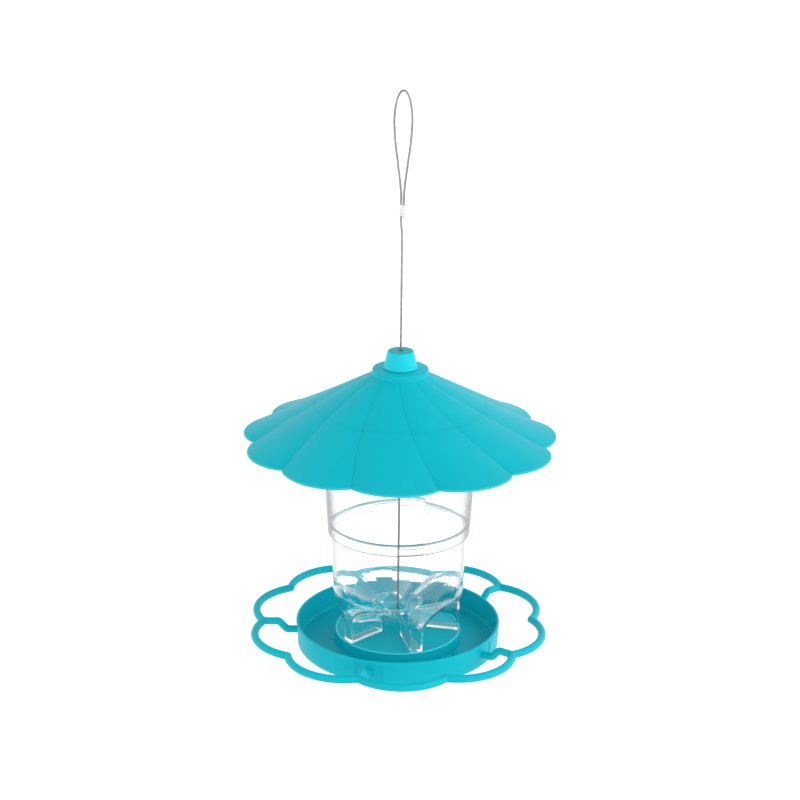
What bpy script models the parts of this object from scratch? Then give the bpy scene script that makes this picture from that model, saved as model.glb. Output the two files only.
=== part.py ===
"""Foldable hanging bird feeder.

A swirled petal roof covers a clear two-part silo that telescopes. The silo stands on a shallow
tray, moulded in one piece with a flower-shaped perch ring, and the whole hangs from a thin wire
rope that runs up its middle to a crimped loop.

The origin is at the top of the loop, +Z up, and every size is in metres. The pieces are drawn in
heights above the tray's underside, and one empty carries them down from the loop.
"""
import math

import bmesh
import bpy
from mathutils import Matrix, Vector

# Shared fits
seat_gap = 0.0003
cut_overrun = 0.004
round_segments = 54
cup_segments = 50
small_segments = 24
pin_segments = 10
corner_share = 0.3

# Wire rope, its crimped loop and its stop
wire_diameter = 0.0014
wire_clearance = 0.0004
free_wire_length = 0.0858
ferrule_length = 0.0075
ferrule_wall = 0.0004
ferrule_bevel = 0.0003
tail_length = 0.0010
loop_height = 0.0702
washer_radius = 0.0036
washer_thickness = 0.0008
stop_radius = 0.0018
stop_length = 0.0050
stop_bevel = 0.0004
loop_points = 53
straight_points = 12
curve_steps = 12
crimp_steps = 8
bend_lean_shares = (0.15, 0.85)
bend_end_share = 0.33

# Loop route: half widths and drops from the loop's top, as shares of the loop's size
loop_half_width = 0.00543
loop_route_shares = (
    (0.15, 0.004), (0.40, 0.023), (0.57, 0.049), (0.70, 0.076), (0.77, 0.101), (0.90, 0.154),
    (0.96, 0.205), (1.00, 0.258), (0.985, 0.310), (0.91, 0.406), (0.83, 0.476), (0.72, 0.546),
    (0.59, 0.615), (0.50, 0.683), (0.37, 0.753), (0.27, 0.824), (0.18, 0.900), (0.161, 0.955),
)

# Tray
tray_height = 0.0165
tray_wall = 0.0016
tray_floor = 0.0018
rim_radius = 0.0663
tray_flare = 0.0008
base_fillet = 0.0024
plateau_radius = 0.0396
plateau_height = 0.0097
plateau_rise = 0.0025
bead_width = 0.0011
bead_height = 0.0007
dome_radius = 0.0120
dome_rise = 0.0018
boss_radius = 0.0045
boss_height = 0.0010
boss_taper_share = 0.85
dome_shoulder_share = 0.25
riser_draft = 0.0006
drain_radius = 0.0012
drain_inset = 0.0022

# Perch ring and its spokes
ring_outer_radius = 0.0981
ring_petal_depth = 0.0105
ring_height = 0.0148
ring_petals = 10
ring_phase_degrees = -105.9
bar_diameter = 0.0050
bar_sides = 10
petal_points = 7
spoke_diameter = 0.0048
spoke_drop = 0.0059
crank_middle_share = 0.442
crank_run_share = 1.235
spoke_steps = 4
spoke_root_share = 0.6
pad_width = 0.0175
pad_depth = 0.0004
pad_lip = 0.0022

# Seed cup, the lower half of the silo
cup_height = 0.0767
cup_radius = 0.0432
cup_wall = 0.0014
shoulder_height = 0.0305
shoulder_radius = 0.0425
waist_height = 0.0215
waist_radius = 0.0407
flange_overhang = 0.0009
flange_thickness = 0.0022
feeding_ports = 5
shaft_radius = 0.0150
shaft_height = 0.0196
port_outer_reach = 0.0346
port_outer_width = 0.0400
port_outer_height = 0.0255
port_inner_width = 0.0140
port_inner_height = 0.0180
port_outer_arch = 0.0145
port_inner_arch = 0.0070
arch_steps = 4
hood_start_share = 0.9
port_start_share = 0.8

# Upper tube of the silo, with the lugs that catch the cup's flange
tube_length = 0.0802
tube_wall = 0.0014
tube_clearance = 0.0005
tube_flare = 0.0044
tube_bead = 0.0007
bead_depth = 0.0020
lug_count = 4
lug_angle_degrees = 20.0
lug_phase_degrees = -80.0
lug_height = 0.0044
lug_setback = 0.0003
notch_extra_degrees = 3.0

# Roof
petals = 11
petal_phase_degrees = -107.9
petal_radius = 0.1004
petal_depth = 0.0079
socket_cover = 0.004864
roof_slope_degrees = 29.525
swirl_degrees = 12.9
swirl_inner_degrees = 9.5
roof_skin = 0.0016
lip_height = 0.0009
petal_steps = 6
roof_rings = 6
ring_crowding_power = 0.65
crown_body_share = 0.45
crown_edge_power = 8.0
scallop_power = 0.85
disc_radius = 0.0177
disc_proud = 0.0042
disc_plate = 0.0030
disc_edge = 0.0006
socket_skirt = 0.0060
socket_wall = 0.0018
socket_ledge = 0.0020

# Knob
knob_base_radius = 0.0107
knob_top_radius = 0.0081
knob_height = 0.0113
knob_edge = 0.0011
knob_bore_radius = 0.00175
spigot_radius = 0.0058
snap_overhang = 0.0009
snap_thickness = 0.0016
snap_lead = 0.0006

# Radii that follow from the fits
base_radius = rim_radius - tray_flare
ring_joint_radius = ring_outer_radius - ring_petal_depth
valley_radius = petal_radius - petal_depth
wire_radius = wire_diameter / 2
wire_bore = wire_radius + wire_clearance
hub_underside = plateau_height + plateau_rise + dome_rise - tray_wall
foot_radius = plateau_radius - seat_gap
flange_radius = cup_radius + flange_overhang
tube_inner = flange_radius + tube_clearance
tube_outer = tube_inner + tube_wall
lug_radius = cup_radius + seat_gap
socket_inner = tube_outer + tube_flare + tube_bead + tube_clearance
socket_outer = socket_inner + socket_wall
leg_spacing = wire_radius + seat_gap / 2

# Heights above the tray's underside, built up along the rope
rest_height = plateau_height + seat_gap
flange_top = rest_height + cup_height
flange_bottom = flange_top - flange_thickness
tube_bottom = flange_bottom - seat_gap - lug_height
tube_top = tube_bottom + tube_length
socket_seat = tube_top + seat_gap
roof_slope = math.tan(math.radians(roof_slope_degrees))
eave_drop = (valley_radius - socket_inner) * roof_slope - socket_cover
eave_height = socket_seat - eave_drop
disc_top = eave_height + (valley_radius - disc_radius) * roof_slope + disc_proud
knob_bottom = disc_top + seat_gap
knob_top = knob_bottom + knob_height
ferrule_bottom = knob_top + free_wire_length
ferrule_top = ferrule_bottom + ferrule_length
hang_height = ferrule_top + seat_gap + loop_height


def clear_scene():
    """Remove every object that the file holds."""
    for item in list(bpy.data.objects):
        bpy.data.objects.remove(item, do_unlink=True)


def plastic(name, colour, roughness, transmission=0.0, metallic=0.0):
    """One Principled material."""
    material = bpy.data.materials.new(name)
    material.use_nodes = True
    shader = material.node_tree.nodes["Principled BSDF"]
    shader.inputs["Base Color"].default_value = (*colour, 1.0)
    shader.inputs["Roughness"].default_value = roughness
    shader.inputs["Metallic"].default_value = metallic
    shader.inputs["Transmission Weight"].default_value = transmission
    material.diffuse_color = (*colour, 1.0)
    return material


def add_object(name, data, carrier, material=None):
    """Link an object under the carrying empty."""
    piece = bpy.data.objects.new(name, data)
    bpy.context.scene.collection.objects.link(piece)
    piece.parent = carrier
    if material:
        data.materials.append(material)
    return piece


def finish_mesh(name, mesh_builder, carrier, material=None):
    """Close a bmesh into a smooth-shaded object whose faces point out."""
    bmesh.ops.recalc_face_normals(mesh_builder, faces=mesh_builder.faces)
    mesh = bpy.data.meshes.new(name)
    mesh_builder.to_mesh(mesh)
    mesh_builder.free()
    mesh.shade_smooth()
    mesh.set_sharp_from_angle(angle=math.radians(30.0))
    return add_object(name, mesh, carrier, material)


def boolean(target, tool, operation="DIFFERENCE"):
    """Cut or join with a hidden tool."""
    modifier = target.modifiers.new(tool.name, "BOOLEAN")
    modifier.object = tool
    modifier.operation = operation
    modifier.solver = "EXACT"
    tool.hide_render = True
    tool.display_type = "WIRE"


def polar(radius, degrees, height=0.0):
    """A point at a radius, a bearing and a height."""
    angle = math.radians(degrees)
    return Vector((radius * math.cos(angle), radius * math.sin(angle), height))


def bridge(mesh_builder, ring_a, ring_b, closed=True):
    """Join two rings of vertices with quads, or a ring and a pole with triangles."""
    longest = max(len(ring_a), len(ring_b))
    steps = longest if closed else longest - 1
    for index in range(steps):
        following = (index + 1) % longest
        corners = []
        for ring, order in ((ring_a, (index, following)), (ring_b, (following, index))):
            picks = [ring[0]] if len(ring) == 1 else [ring[step] for step in order]
            corners.extend(picks)
        mesh_builder.faces.new(corners)


def turned(name, profile, carrier, material=None, segments=round_segments):
    """Turn a closed outline of (radius, height) points about the rope's axis."""
    builder = bmesh.new()
    rings = []
    for radius, height in profile:
        if radius == 0.0:
            rings.append([builder.verts.new((0.0, 0.0, height))])
            continue
        rings.append([
            builder.verts.new(polar(radius, 360.0 * step / segments, height))
            for step in range(segments)
        ])
    for ring_a, ring_b in zip(rings, rings[1:] + rings[:1]):
        if len(ring_a) > 1 or len(ring_b) > 1:
            bridge(builder, ring_a, ring_b)
    return finish_mesh(name, builder, carrier, material)


def loft(builder, sections, closed=False):
    """Skin a run of outlines with the same number of points; an open run gets end faces."""
    rings = [[builder.verts.new(point) for point in section] for section in sections]
    pairs = list(zip(rings, rings[1:]))
    if closed:
        pairs.append((rings[-1], rings[0]))
    for ring_a, ring_b in pairs:
        bridge(builder, ring_a, ring_b)
    if not closed:
        builder.faces.new(rings[0])
        builder.faces.new(list(reversed(rings[-1])))


def sector(builder, inner, outer, low, high, centre_degrees, width_degrees, steps=3):
    """A closed block between two radii, two heights and two bearings."""
    sections = []
    for step in range(steps + 1):
        bearing = centre_degrees + width_degrees * (step / steps - 0.5)
        corners = ((inner, low), (outer, low), (outer, high), (inner, high))
        sections.append([polar(radius, bearing, height) for radius, height in corners])
    loft(builder, sections)


def plateau_surface(radius):
    """Height of the tray's sloping plateau under a cup foot."""
    share = (plateau_radius - radius) / (plateau_radius - dome_radius)
    return plateau_height + plateau_rise * share


def build_tray(carrier, material):
    """Tray, perch ring and spokes, one moulding."""
    floor_edge = plateau_radius + bead_width
    wall_slope = tray_flare / tray_height
    inner_base = base_radius - tray_wall
    dome_top = plateau_height + plateau_rise + dome_rise
    base_corner = base_fillet * corner_share
    lip_corner = tray_wall * corner_share
    bead_corner = bead_width * corner_share
    profile = [
        (base_radius - base_fillet, 0.0),
        (base_radius - base_corner, base_corner),
        (base_radius + wall_slope * base_fillet, base_fillet),
        (rim_radius, tray_height - tray_wall / 2),
        (rim_radius - lip_corner, tray_height),
        (rim_radius - tray_wall + lip_corner, tray_height),
        (rim_radius - tray_wall, tray_height - tray_wall / 2),
        (inner_base + wall_slope * base_fillet, base_fillet + tray_wall / 2),
        (inner_base - base_fillet / 2, tray_floor),
        (floor_edge + riser_draft + tray_wall, tray_floor),
        (floor_edge + riser_draft, tray_floor + tray_wall / 2),
        (floor_edge, plateau_height),
        (floor_edge - bead_corner, plateau_height + bead_height),
        (plateau_radius + bead_corner, plateau_height + bead_height),
        (plateau_radius, plateau_height),
        (dome_radius, plateau_height + plateau_rise),
        ((dome_radius + boss_radius) / 2, dome_top - dome_rise * dome_shoulder_share),
        (boss_radius, dome_top),
        (boss_radius * boss_taper_share, dome_top + boss_height),
        (wire_bore, dome_top + boss_height),
        (wire_bore, hub_underside),
        (boss_radius, hub_underside),
        (dome_radius, plateau_height + plateau_rise - tray_wall),
        (plateau_radius - tray_wall, plateau_height - tray_wall),
        (floor_edge - tray_wall, plateau_height - 2 * tray_wall),
        (floor_edge + riser_draft - tray_wall, 0.0),
    ]
    tray = turned("feeding_tray", profile, carrier, material)
    boolean(tray, build_ring(carrier), "UNION")
    boolean(tray, build_wall_pads(carrier))
    boolean(tray, build_spokes(carrier), "UNION")
    boolean(tray, build_drains(carrier))
    return tray


def bar_outline(diameter):
    """A round bar's cross-section, across and up."""
    return [polar(diameter / 2, 360.0 * side / bar_sides).xy for side in range(bar_sides)]


def sweep(builder, path, level_axis, diameter, closed=False):
    """Carry a round bar along a path square to the level axis, mitred where the path bends."""
    sections = []
    for index, point in enumerate(path):
        at_start = index == 0 and not closed
        at_end = index == len(path) - 1 and not closed
        behind = point if at_start else path[index - 1]
        ahead = point if at_end else path[(index + 1) % len(path)]
        arriving = (point - behind).normalized()
        leaving = (ahead - point).normalized()
        heading = (arriving + leaving).normalized()
        mitre = max(arriving.dot(heading), leaving.dot(heading))
        side = heading.cross(level_axis) / mitre
        sections.append([
            point + side * across + level_axis * lift for across, lift in bar_outline(diameter)
        ])
    loft(builder, sections, closed)


def build_ring(carrier):
    """Flower-shaped perch bar: one arc for each petal, joined at inward points."""
    pitch = 360.0 / ring_petals
    half_chord = ring_joint_radius * math.sin(math.radians(pitch / 2))
    chord_radius = ring_joint_radius * math.cos(math.radians(pitch / 2))
    sagitta = ring_outer_radius - bar_diameter / 2 - chord_radius
    arc_radius = (half_chord ** 2 + sagitta ** 2) / (2 * sagitta)
    arc_centre = chord_radius + sagitta - arc_radius
    half_angle = math.asin(half_chord / arc_radius)
    path = []
    for petal in range(ring_petals):
        middle = math.radians(ring_phase_degrees + pitch * (petal + 0.5))
        for step in range(petal_points):
            swing = half_angle * (2 * step / petal_points - 1)
            outward = arc_centre + arc_radius * math.cos(swing)
            point = Vector((outward, arc_radius * math.sin(swing), ring_height))
            path.append(Matrix.Rotation(middle, 3, "Z") @ point)
    builder = bmesh.new()
    sweep(builder, path, Vector((0.0, 0.0, 1.0)), bar_diameter, closed=True)
    return finish_mesh("perch_ring_tool", builder, carrier)


def spoke_bearings():
    """Every other joint of the ring carries a spoke."""
    return [ring_phase_degrees + 720.0 / ring_petals * step for step in range(ring_petals // 2)]


def build_spokes(carrier):
    """Cranked spokes: level at the tray wall, up a smooth step, level again at the ring."""
    low = ring_height - spoke_drop
    root = base_radius + tray_flare / tray_height * low - tray_wall * spoke_root_share
    run = ring_joint_radius - root
    middle, half_crank = root + run * crank_middle_share, spoke_drop * crank_run_share / 2
    first, last = middle - half_crank, middle + half_crank
    line = [Vector((root, 0.0, low))]
    for step in range(spoke_steps + 1):
        share = step / spoke_steps
        rise = spoke_drop * share ** 2 * (3.0 - 2.0 * share)
        line.append(Vector((first + (last - first) * share, 0.0, low + rise)))
    line.append(Vector((ring_joint_radius, 0.0, ring_height)))
    builder = bmesh.new()
    for bearing in spoke_bearings():
        turn = Matrix.Rotation(math.radians(bearing), 3, "Z")
        path = [turn @ point for point in line]
        sweep(builder, path, turn @ Vector((0.0, 1.0, 0.0)), spoke_diameter)
    return finish_mesh("spoke_tool", builder, carrier)


def build_wall_pads(carrier):
    """Shallow flats in the tray wall above each spoke root."""
    builder = bmesh.new()
    width = math.degrees(pad_width / rim_radius)
    low, high = -cut_overrun, tray_height - pad_lip
    wall_slope = tray_flare / tray_height
    beyond = rim_radius + cut_overrun
    corners = (
        (base_radius + wall_slope * low - pad_depth, low), (beyond, low),
        (beyond, high), (base_radius + wall_slope * high - pad_depth, high),
    )
    for bearing in spoke_bearings():
        sections = [
            [polar(radius, bearing + side * width, height) for radius, height in corners]
            for side in (-0.5, 0.0, 0.5)
        ]
        loft(builder, sections)
    return finish_mesh("wall_pad_tool", builder, carrier)


def build_drains(carrier):
    """One drain hole below each spoke, at the foot of the plateau."""
    builder = bmesh.new()
    radius = plateau_radius + bead_width + riser_draft + drain_inset
    for bearing in spoke_bearings():
        centre = polar(radius, bearing)
        rings = []
        for height in (-cut_overrun, tray_floor + tray_wall):
            rings.append([
                centre + polar(drain_radius, 360.0 * step / pin_segments, height)
                for step in range(pin_segments)
            ])
        loft(builder, rings)
    return finish_mesh("drain_tool", builder, carrier)


def port_section(reach, skin):
    """Arched outline of a feeding port, square to its own bearing, grown by a skin."""
    span = port_outer_reach - shaft_radius
    share = (reach - shaft_radius) / span
    half = (port_inner_width + (port_outer_width - port_inner_width) * share) / 2 + skin
    rise = port_inner_height + (port_outer_height - port_inner_height) * share + skin
    arch = port_inner_arch + (port_outer_arch - port_inner_arch) * share
    foot = rest_height - plateau_height - cut_overrun
    spring = rest_height + rise - arch
    outline = [Vector((reach, -half, foot))]
    for step in range(2 * arch_steps + 1):
        swing = math.pi * (1 - step / (2 * arch_steps))
        outline.append(Vector((
            reach, half * math.cos(swing), spring + arch * math.sin(swing)
        )))
    outline.append(Vector((reach, half, foot)))
    return outline


def build_ports(name, carrier, skin, first, last):
    """The feeding ports, or the hoods over them, as one tool."""
    builder = bmesh.new()
    pitch = 360.0 / feeding_ports
    for port in range(feeding_ports):
        turn = Matrix.Rotation(math.radians(pitch * (port + 0.5)), 3, "Z")
        sections = [
            [turn @ point for point in port_section(reach, skin)] for reach in (first, last)
        ]
        loft(builder, sections)
    return finish_mesh(name, builder, carrier)


def build_cup(carrier, material):
    """Seed cup: thin wall, five hollow legs and five hooded ports round a seed shaft."""
    foot = rest_height
    slope = (plateau_surface(0.0) - plateau_height) / plateau_radius
    neck = flange_bottom
    rim_corner = cup_wall * corner_share
    outside = [
        (foot_radius, foot),
        (waist_radius, foot + waist_height),
        (shoulder_radius, foot + shoulder_height),
        (cup_radius, neck),
        (flange_radius, neck),
        (flange_radius, flange_top - rim_corner),
        (flange_radius - rim_corner, flange_top),
        (0.0, flange_top),
        (0.0, foot + slope * foot_radius),
    ]
    cup = turned("seed_cup", outside, carrier, material, segments=cup_segments)
    hub_outer = shaft_radius + cup_wall
    inside = [
        (0.0, -cut_overrun),
        (shaft_radius, -cut_overrun),
        (shaft_radius, foot + shaft_height),
        (hub_outer, foot + shaft_height),
        (hub_outer, foot + cup_wall + slope * (foot_radius - hub_outer)),
        (foot_radius - cup_wall, foot + cup_wall + slope * cup_wall),
        (waist_radius - cup_wall, foot + waist_height + rim_corner),
        (shoulder_radius - cup_wall, foot + shoulder_height + rim_corner),
        (cup_radius - cup_wall, neck),
        (cup_radius - cup_wall, flange_top + cut_overrun),
        (0.0, flange_top + cut_overrun),
    ]
    cavity = turned("cup_cavity_tool", inside, carrier, segments=cup_segments)
    reach = foot_radius + 2 * cut_overrun
    hood_start = shaft_radius * hood_start_share
    port_start = shaft_radius * port_start_share
    boolean(cavity, build_ports("hood_tool", carrier, cup_wall, hood_start, reach))
    boolean(cup, cavity)
    boolean(cup, build_ports("port_tool", carrier, 0.0, port_start, reach))
    shaft = [
        (0.0, 0.0), (shaft_radius, 0.0),
        (shaft_radius, foot + shaft_height + cut_overrun * 2),
        (0.0, foot + shaft_height + cut_overrun * 2),
    ]
    boolean(cup, turned("shaft_tool", shaft, carrier, segments=cup_segments))
    builder = bmesh.new()
    for notch in range(lug_count):
        bearing = lug_phase_degrees + lug_angle_degrees + notch_extra_degrees
        sector(
            builder, lug_radius, flange_radius + cut_overrun,
            flange_bottom - cut_overrun, flange_top + cut_overrun,
            bearing + 360.0 / lug_count * notch, lug_angle_degrees + notch_extra_degrees,
        )
    boolean(cup, finish_mesh("notch_tool", builder, carrier))
    return cup


def build_upper_tube(carrier, material):
    """Flared clear tube with inward lugs at its lower edge and a bead round its mouth."""
    bead = tube_top - bead_depth
    flare = tube_flare / tube_length
    top_outer = tube_outer + tube_flare
    mouth_corner = tube_wall * corner_share
    profile = [
        (tube_outer, tube_bottom),
        (tube_outer + flare * (tube_length - bead_depth), bead),
        (top_outer + tube_bead, bead + tube_bead),
        (top_outer + tube_bead, tube_top - tube_bead / 2),
        (top_outer + tube_bead / 2, tube_top),
        (top_outer - tube_wall + mouth_corner, tube_top),
        (top_outer - tube_wall, tube_top - mouth_corner),
        (tube_inner, tube_bottom),
    ]
    tube = turned("upper_tube", profile, carrier, material)
    builder = bmesh.new()
    for lug in range(lug_count):
        sector(
            builder, lug_radius, tube_inner + tube_wall / 2,
            tube_bottom + lug_setback, tube_bottom + lug_height,
            lug_phase_degrees + 360.0 / lug_count * lug, lug_angle_degrees,
        )
    boolean(tube, finish_mesh("lug_tool", builder, carrier), "UNION")
    return tube


def valley_bearing(radius):
    """Bearing of the first valley at a radius: it swirls as it runs out to the eave."""
    inward = 1.0 - radius / valley_radius
    lag = swirl_degrees * inward + swirl_inner_degrees * inward ** 2
    return petal_phase_degrees - lag


def eave_radius(share, inset):
    """Scalloped edge of the roof, from valley to petal tip."""
    swell = (1.0 - (2.0 * share - 1.0) ** 2) ** scallop_power
    return valley_radius + (petal_radius - valley_radius) * swell - inset


def roof_point(radius, petal, share, drop):
    """A point of the roof's skin: a cone in the valleys, crowned over each petal.

    The crown is low over the roof's body and flares up to a level eave at the petal's edge.
    """
    reach = eave_radius(share, 0.0)
    out = radius / reach
    flare = crown_body_share * out + (1.0 - crown_body_share) * out ** crown_edge_power
    cone = eave_height + (valley_radius - radius) * roof_slope
    crown = (reach - valley_radius) * roof_slope * flare
    bearing = valley_bearing(radius) + 360.0 / petals * (petal + share)
    return polar(radius, bearing, cone + crown - drop)


def roof_solid(name, carrier, inset, drop, cap_height, bottom, material=None):
    """The space under a skin of the roof, closed flat below and under its centre disc."""
    builder = bmesh.new()
    start = disc_radius - inset
    around = [(petal, step / petal_steps) for petal in range(petals) for step in range(petal_steps)]
    rings = []
    for level in range(roof_rings + 1):
        ring = []
        run = (level / roof_rings) ** ring_crowding_power
        for petal, share in around:
            edge = eave_radius(share, inset)
            radius = start + (edge - start) * run
            ring.append(builder.verts.new(roof_point(radius, petal, share, drop)))
        rings.append(ring)
    edge_ring = [builder.verts.new((v.co.x, v.co.y, bottom)) for v in rings[-1]]
    side_ring = [builder.verts.new((v.co.x, v.co.y, cap_height - disc_edge)) for v in rings[0]]
    shrink = (start - disc_edge) / start
    top_ring = [
        builder.verts.new((v.co.x * shrink, v.co.y * shrink, cap_height)) for v in rings[0]
    ]
    chain = [top_ring, side_ring] + rings + [edge_ring]
    for ring_a, ring_b in zip(chain, chain[1:]):
        bridge(builder, ring_a, ring_b)
    bridge(builder, [builder.verts.new((0.0, 0.0, cap_height))], top_ring)
    bridge(builder, edge_ring, [builder.verts.new((0.0, 0.0, bottom))])
    bmesh.ops.triangulate(builder, faces=builder.faces, quad_method="FIXED")
    return finish_mesh(name, builder, carrier, material)


def build_roof(carrier, material):
    """Petal roof: swirled skin, centre disc and the socket that sits on the tube's mouth."""
    lip = eave_height - lip_height
    roof = roof_solid("roof_canopy", carrier, 0.0, 0.0, disc_top, lip, material)
    drop = roof_skin / math.cos(math.radians(roof_slope_degrees))
    hollow = roof_solid(
        "roof_hollow_tool", carrier, roof_skin, drop, disc_top - disc_plate, lip - cut_overrun
    )
    ledge_inner = socket_inner - socket_ledge
    socket = [
        (ledge_inner, socket_seat),
        (socket_inner, socket_seat),
        (socket_inner, socket_seat - socket_skirt),
        (socket_outer, socket_seat - socket_skirt),
        (socket_outer, disc_top),
        (ledge_inner, disc_top),
    ]
    boolean(hollow, turned("socket_tool", socket, carrier))
    boolean(roof, hollow)
    hole_radius = spigot_radius + seat_gap
    low, high = disc_top - disc_plate - cut_overrun, disc_top + cut_overrun
    hole = [(0.0, low), (hole_radius, low), (hole_radius, high), (0.0, high)]
    boolean(roof, turned("knob_hole_tool", hole, carrier, segments=small_segments))
    return roof


def build_knob(carrier, material):
    """Tapered stop on the rope, snapped into the roof's centre disc."""
    snap_radius = spigot_radius + snap_overhang
    snap_top = disc_top - disc_plate - seat_gap
    snap_bottom = snap_top - snap_thickness
    edge_corner = knob_edge * corner_share
    profile = [
        (knob_base_radius, knob_bottom),
        (knob_base_radius, knob_bottom + edge_corner),
        (knob_top_radius + edge_corner, knob_top - knob_edge),
        (knob_top_radius, knob_top - edge_corner),
        (knob_top_radius - knob_edge, knob_top),
        (knob_bore_radius, knob_top),
        (knob_bore_radius, snap_bottom),
        (snap_radius - snap_lead, snap_bottom),
        (snap_radius, snap_bottom + snap_lead),
        (snap_radius, snap_top),
        (spigot_radius, snap_top),
        (spigot_radius, knob_bottom),
    ]
    return turned("roof_knob", profile, carrier, material, segments=small_segments)


def wire_curve(name, points, carrier, material):
    """Round wire along a run of points, with filled ends."""
    curve = bpy.data.curves.new(name, "CURVE")
    curve.dimensions = "3D"
    curve.bevel_depth = wire_radius
    curve.bevel_resolution = 2
    curve.use_fill_caps = True
    spline = curve.splines.new("POLY")
    spline.points.add(len(points) - 1)
    for slot, point in zip(spline.points, points):
        slot.co = (*point, 1.0)
    return add_object(name, curve, carrier, material)


def smooth_run(route, count):
    """Points read at even steps along a smooth curve through the route's points."""
    dense = []
    padded = [2 * route[0] - route[1]] + route + [2 * route[-1] - route[-2]]
    for before, start, end, after in zip(padded, padded[1:], padded[2:], padded[3:]):
        for step in range(curve_steps):
            share = step / curve_steps
            dense.append(0.5 * (
                2 * start + (end - before) * share
                + (2 * before - 5 * start + 4 * end - after) * share ** 2
                + (3 * start - before - 3 * end + after) * share ** 3
            ))
    dense.append(route[-1])
    lengths = [0.0]
    for first, second in zip(dense, dense[1:]):
        lengths.append(lengths[-1] + (second - first).length)
    points = []
    slot = 0
    for step in range(count):
        target = lengths[-1] * step / (count - 1)
        while slot < len(dense) - 2 and lengths[slot + 1] < target:
            slot += 1
        span = lengths[slot + 1] - lengths[slot]
        points.append(dense[slot].lerp(dense[slot + 1], (target - lengths[slot]) / span))
    return points


def build_wire(carrier, material):
    """The rope's straight run from its stop up to the ferrule, and its loop above."""
    low = hub_underside - seat_gap - washer_thickness
    bend = ferrule_length + cut_overrun
    first_lean, last_lean = bend_lean_shares
    line = [
        Vector((0.0, 0.0, low)),
        Vector((0.0, 0.0, knob_top)),
        Vector((0.0, 0.0, ferrule_bottom - 2 * bend)),
        Vector((-leg_spacing * first_lean, 0.0, ferrule_bottom - bend)),
        Vector((-leg_spacing * last_lean, 0.0, ferrule_bottom - bend * bend_end_share)),
        Vector((-leg_spacing, 0.0, ferrule_bottom - seat_gap)),
    ]
    straight = smooth_run(line[2:], straight_points)
    wire_curve("hanging_wire", line[:2] + straight, carrier, material)
    top = hang_height - wire_radius
    drop = top - ferrule_top - seat_gap
    half = max(loop_half_width, leg_spacing)
    route = [Vector((0.0, 0.0, top))]
    for width_share, drop_share in loop_route_shares:
        width = max(half * width_share, leg_spacing)
        if drop_share < loop_route_shares[3][1]:
            width = half * width_share
        route.append(Vector((width, 0.0, top - drop * drop_share)))
    route.append(Vector((leg_spacing, 0.0, ferrule_top + seat_gap)))
    mirrored = [Vector((-point.x, point.y, point.z)) for point in reversed(route[1:])]
    wire_curve("wire_loop", smooth_run(mirrored + route, loop_points), carrier, material)


def build_ferrule(carrier, material):
    """Oval crimp sleeve that holds both legs of the loop, with the cut tail below it."""
    builder = bmesh.new()
    radius = wire_radius + ferrule_wall
    sections = []
    levels = (
        (ferrule_bottom, ferrule_bevel), (ferrule_bottom + ferrule_bevel, 0.0),
        (ferrule_top - ferrule_bevel, 0.0), (ferrule_top, ferrule_bevel),
    )
    for height, inset in levels:
        outline = []
        for side, first in ((1.0, -90.0), (-1.0, 90.0)):
            for step in range(crimp_steps + 1):
                spot = polar(radius - inset, first + 180.0 * step / crimp_steps, height)
                outline.append(spot + Vector((side * leg_spacing, 0.0, 0.0)))
        sections.append(outline)
    loft(builder, sections)
    ferrule = finish_mesh("loop_ferrule", builder, carrier, material)
    builder = bmesh.new()
    tail = Vector((leg_spacing, 0.0, 0.0))
    rings = [
        [
            tail + polar(wire_radius, 360.0 * step / pin_segments, height)
            for step in range(pin_segments)
        ]
        for height in (ferrule_bottom - tail_length, ferrule_bottom + ferrule_length / 2)
    ]
    loft(builder, rings)
    boolean(ferrule, finish_mesh("tail_tool", builder, carrier), "UNION")
    return ferrule


def build_stop(carrier, washer_material, stop_material):
    """Washer and crimped stop under the tray's hub."""
    high = hub_underside - seat_gap
    low = high - washer_thickness
    washer = [
        (washer_radius, low), (washer_radius, high), (wire_radius + seat_gap, high),
        (wire_radius + seat_gap, low),
    ]
    turned("wire_washer", washer, carrier, washer_material, segments=small_segments)
    stop_high = low - seat_gap
    stop_low = stop_high - stop_length
    stop = [
        (0.0, stop_low), (stop_radius - stop_bevel, stop_low),
        (stop_radius, stop_low + stop_bevel), (stop_radius, stop_high - stop_bevel),
        (stop_radius - stop_bevel, stop_high), (0.0, stop_high),
    ]
    turned("wire_end_stop", stop, carrier, stop_material, segments=small_segments)


def main():
    """Build every piece under the empty that hangs them from the loop."""
    clear_scene()
    carrier = bpy.data.objects.new("hang_point", None)
    bpy.context.scene.collection.objects.link(carrier)
    carrier.location.z = -hang_height
    teal = (0.010, 0.470, 0.560)
    build_tray(carrier, plastic("tray_plastic", teal, 0.38))
    build_cup(carrier, plastic("cup_clear", (0.94, 0.96, 0.97), 0.05, transmission=1.0))
    build_upper_tube(carrier, plastic("tube_clear", (0.94, 0.96, 0.97), 0.05, transmission=1.0))
    build_roof(carrier, plastic("roof_plastic", teal, 0.42))
    build_knob(carrier, plastic("knob_plastic", (0.020, 0.600, 0.700), 0.45))
    build_wire(carrier, plastic("wire_steel", (0.36, 0.35, 0.33), 0.35, metallic=1.0))
    build_ferrule(carrier, plastic("ferrule_metal", (0.72, 0.72, 0.70), 0.30, metallic=1.0))
    build_stop(
        carrier,
        plastic("washer_metal", (0.70, 0.70, 0.68), 0.30, metallic=1.0),
        plastic("stop_metal", (0.62, 0.62, 0.60), 0.35, metallic=1.0),
    )


main()
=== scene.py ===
"""Dressed model of the foldable hanging bird feeder.

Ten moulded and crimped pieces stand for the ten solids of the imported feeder. Sizes are in metres.
Heights are measured up from the tray's underside, and the workshop hangs each mesh from the origin,
which is the top of the rope's loop.
"""
import logging
import math
from collections.abc import Callable, Iterable, Sequence
from dataclasses import dataclass
from enum import Enum
from typing import Any

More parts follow.
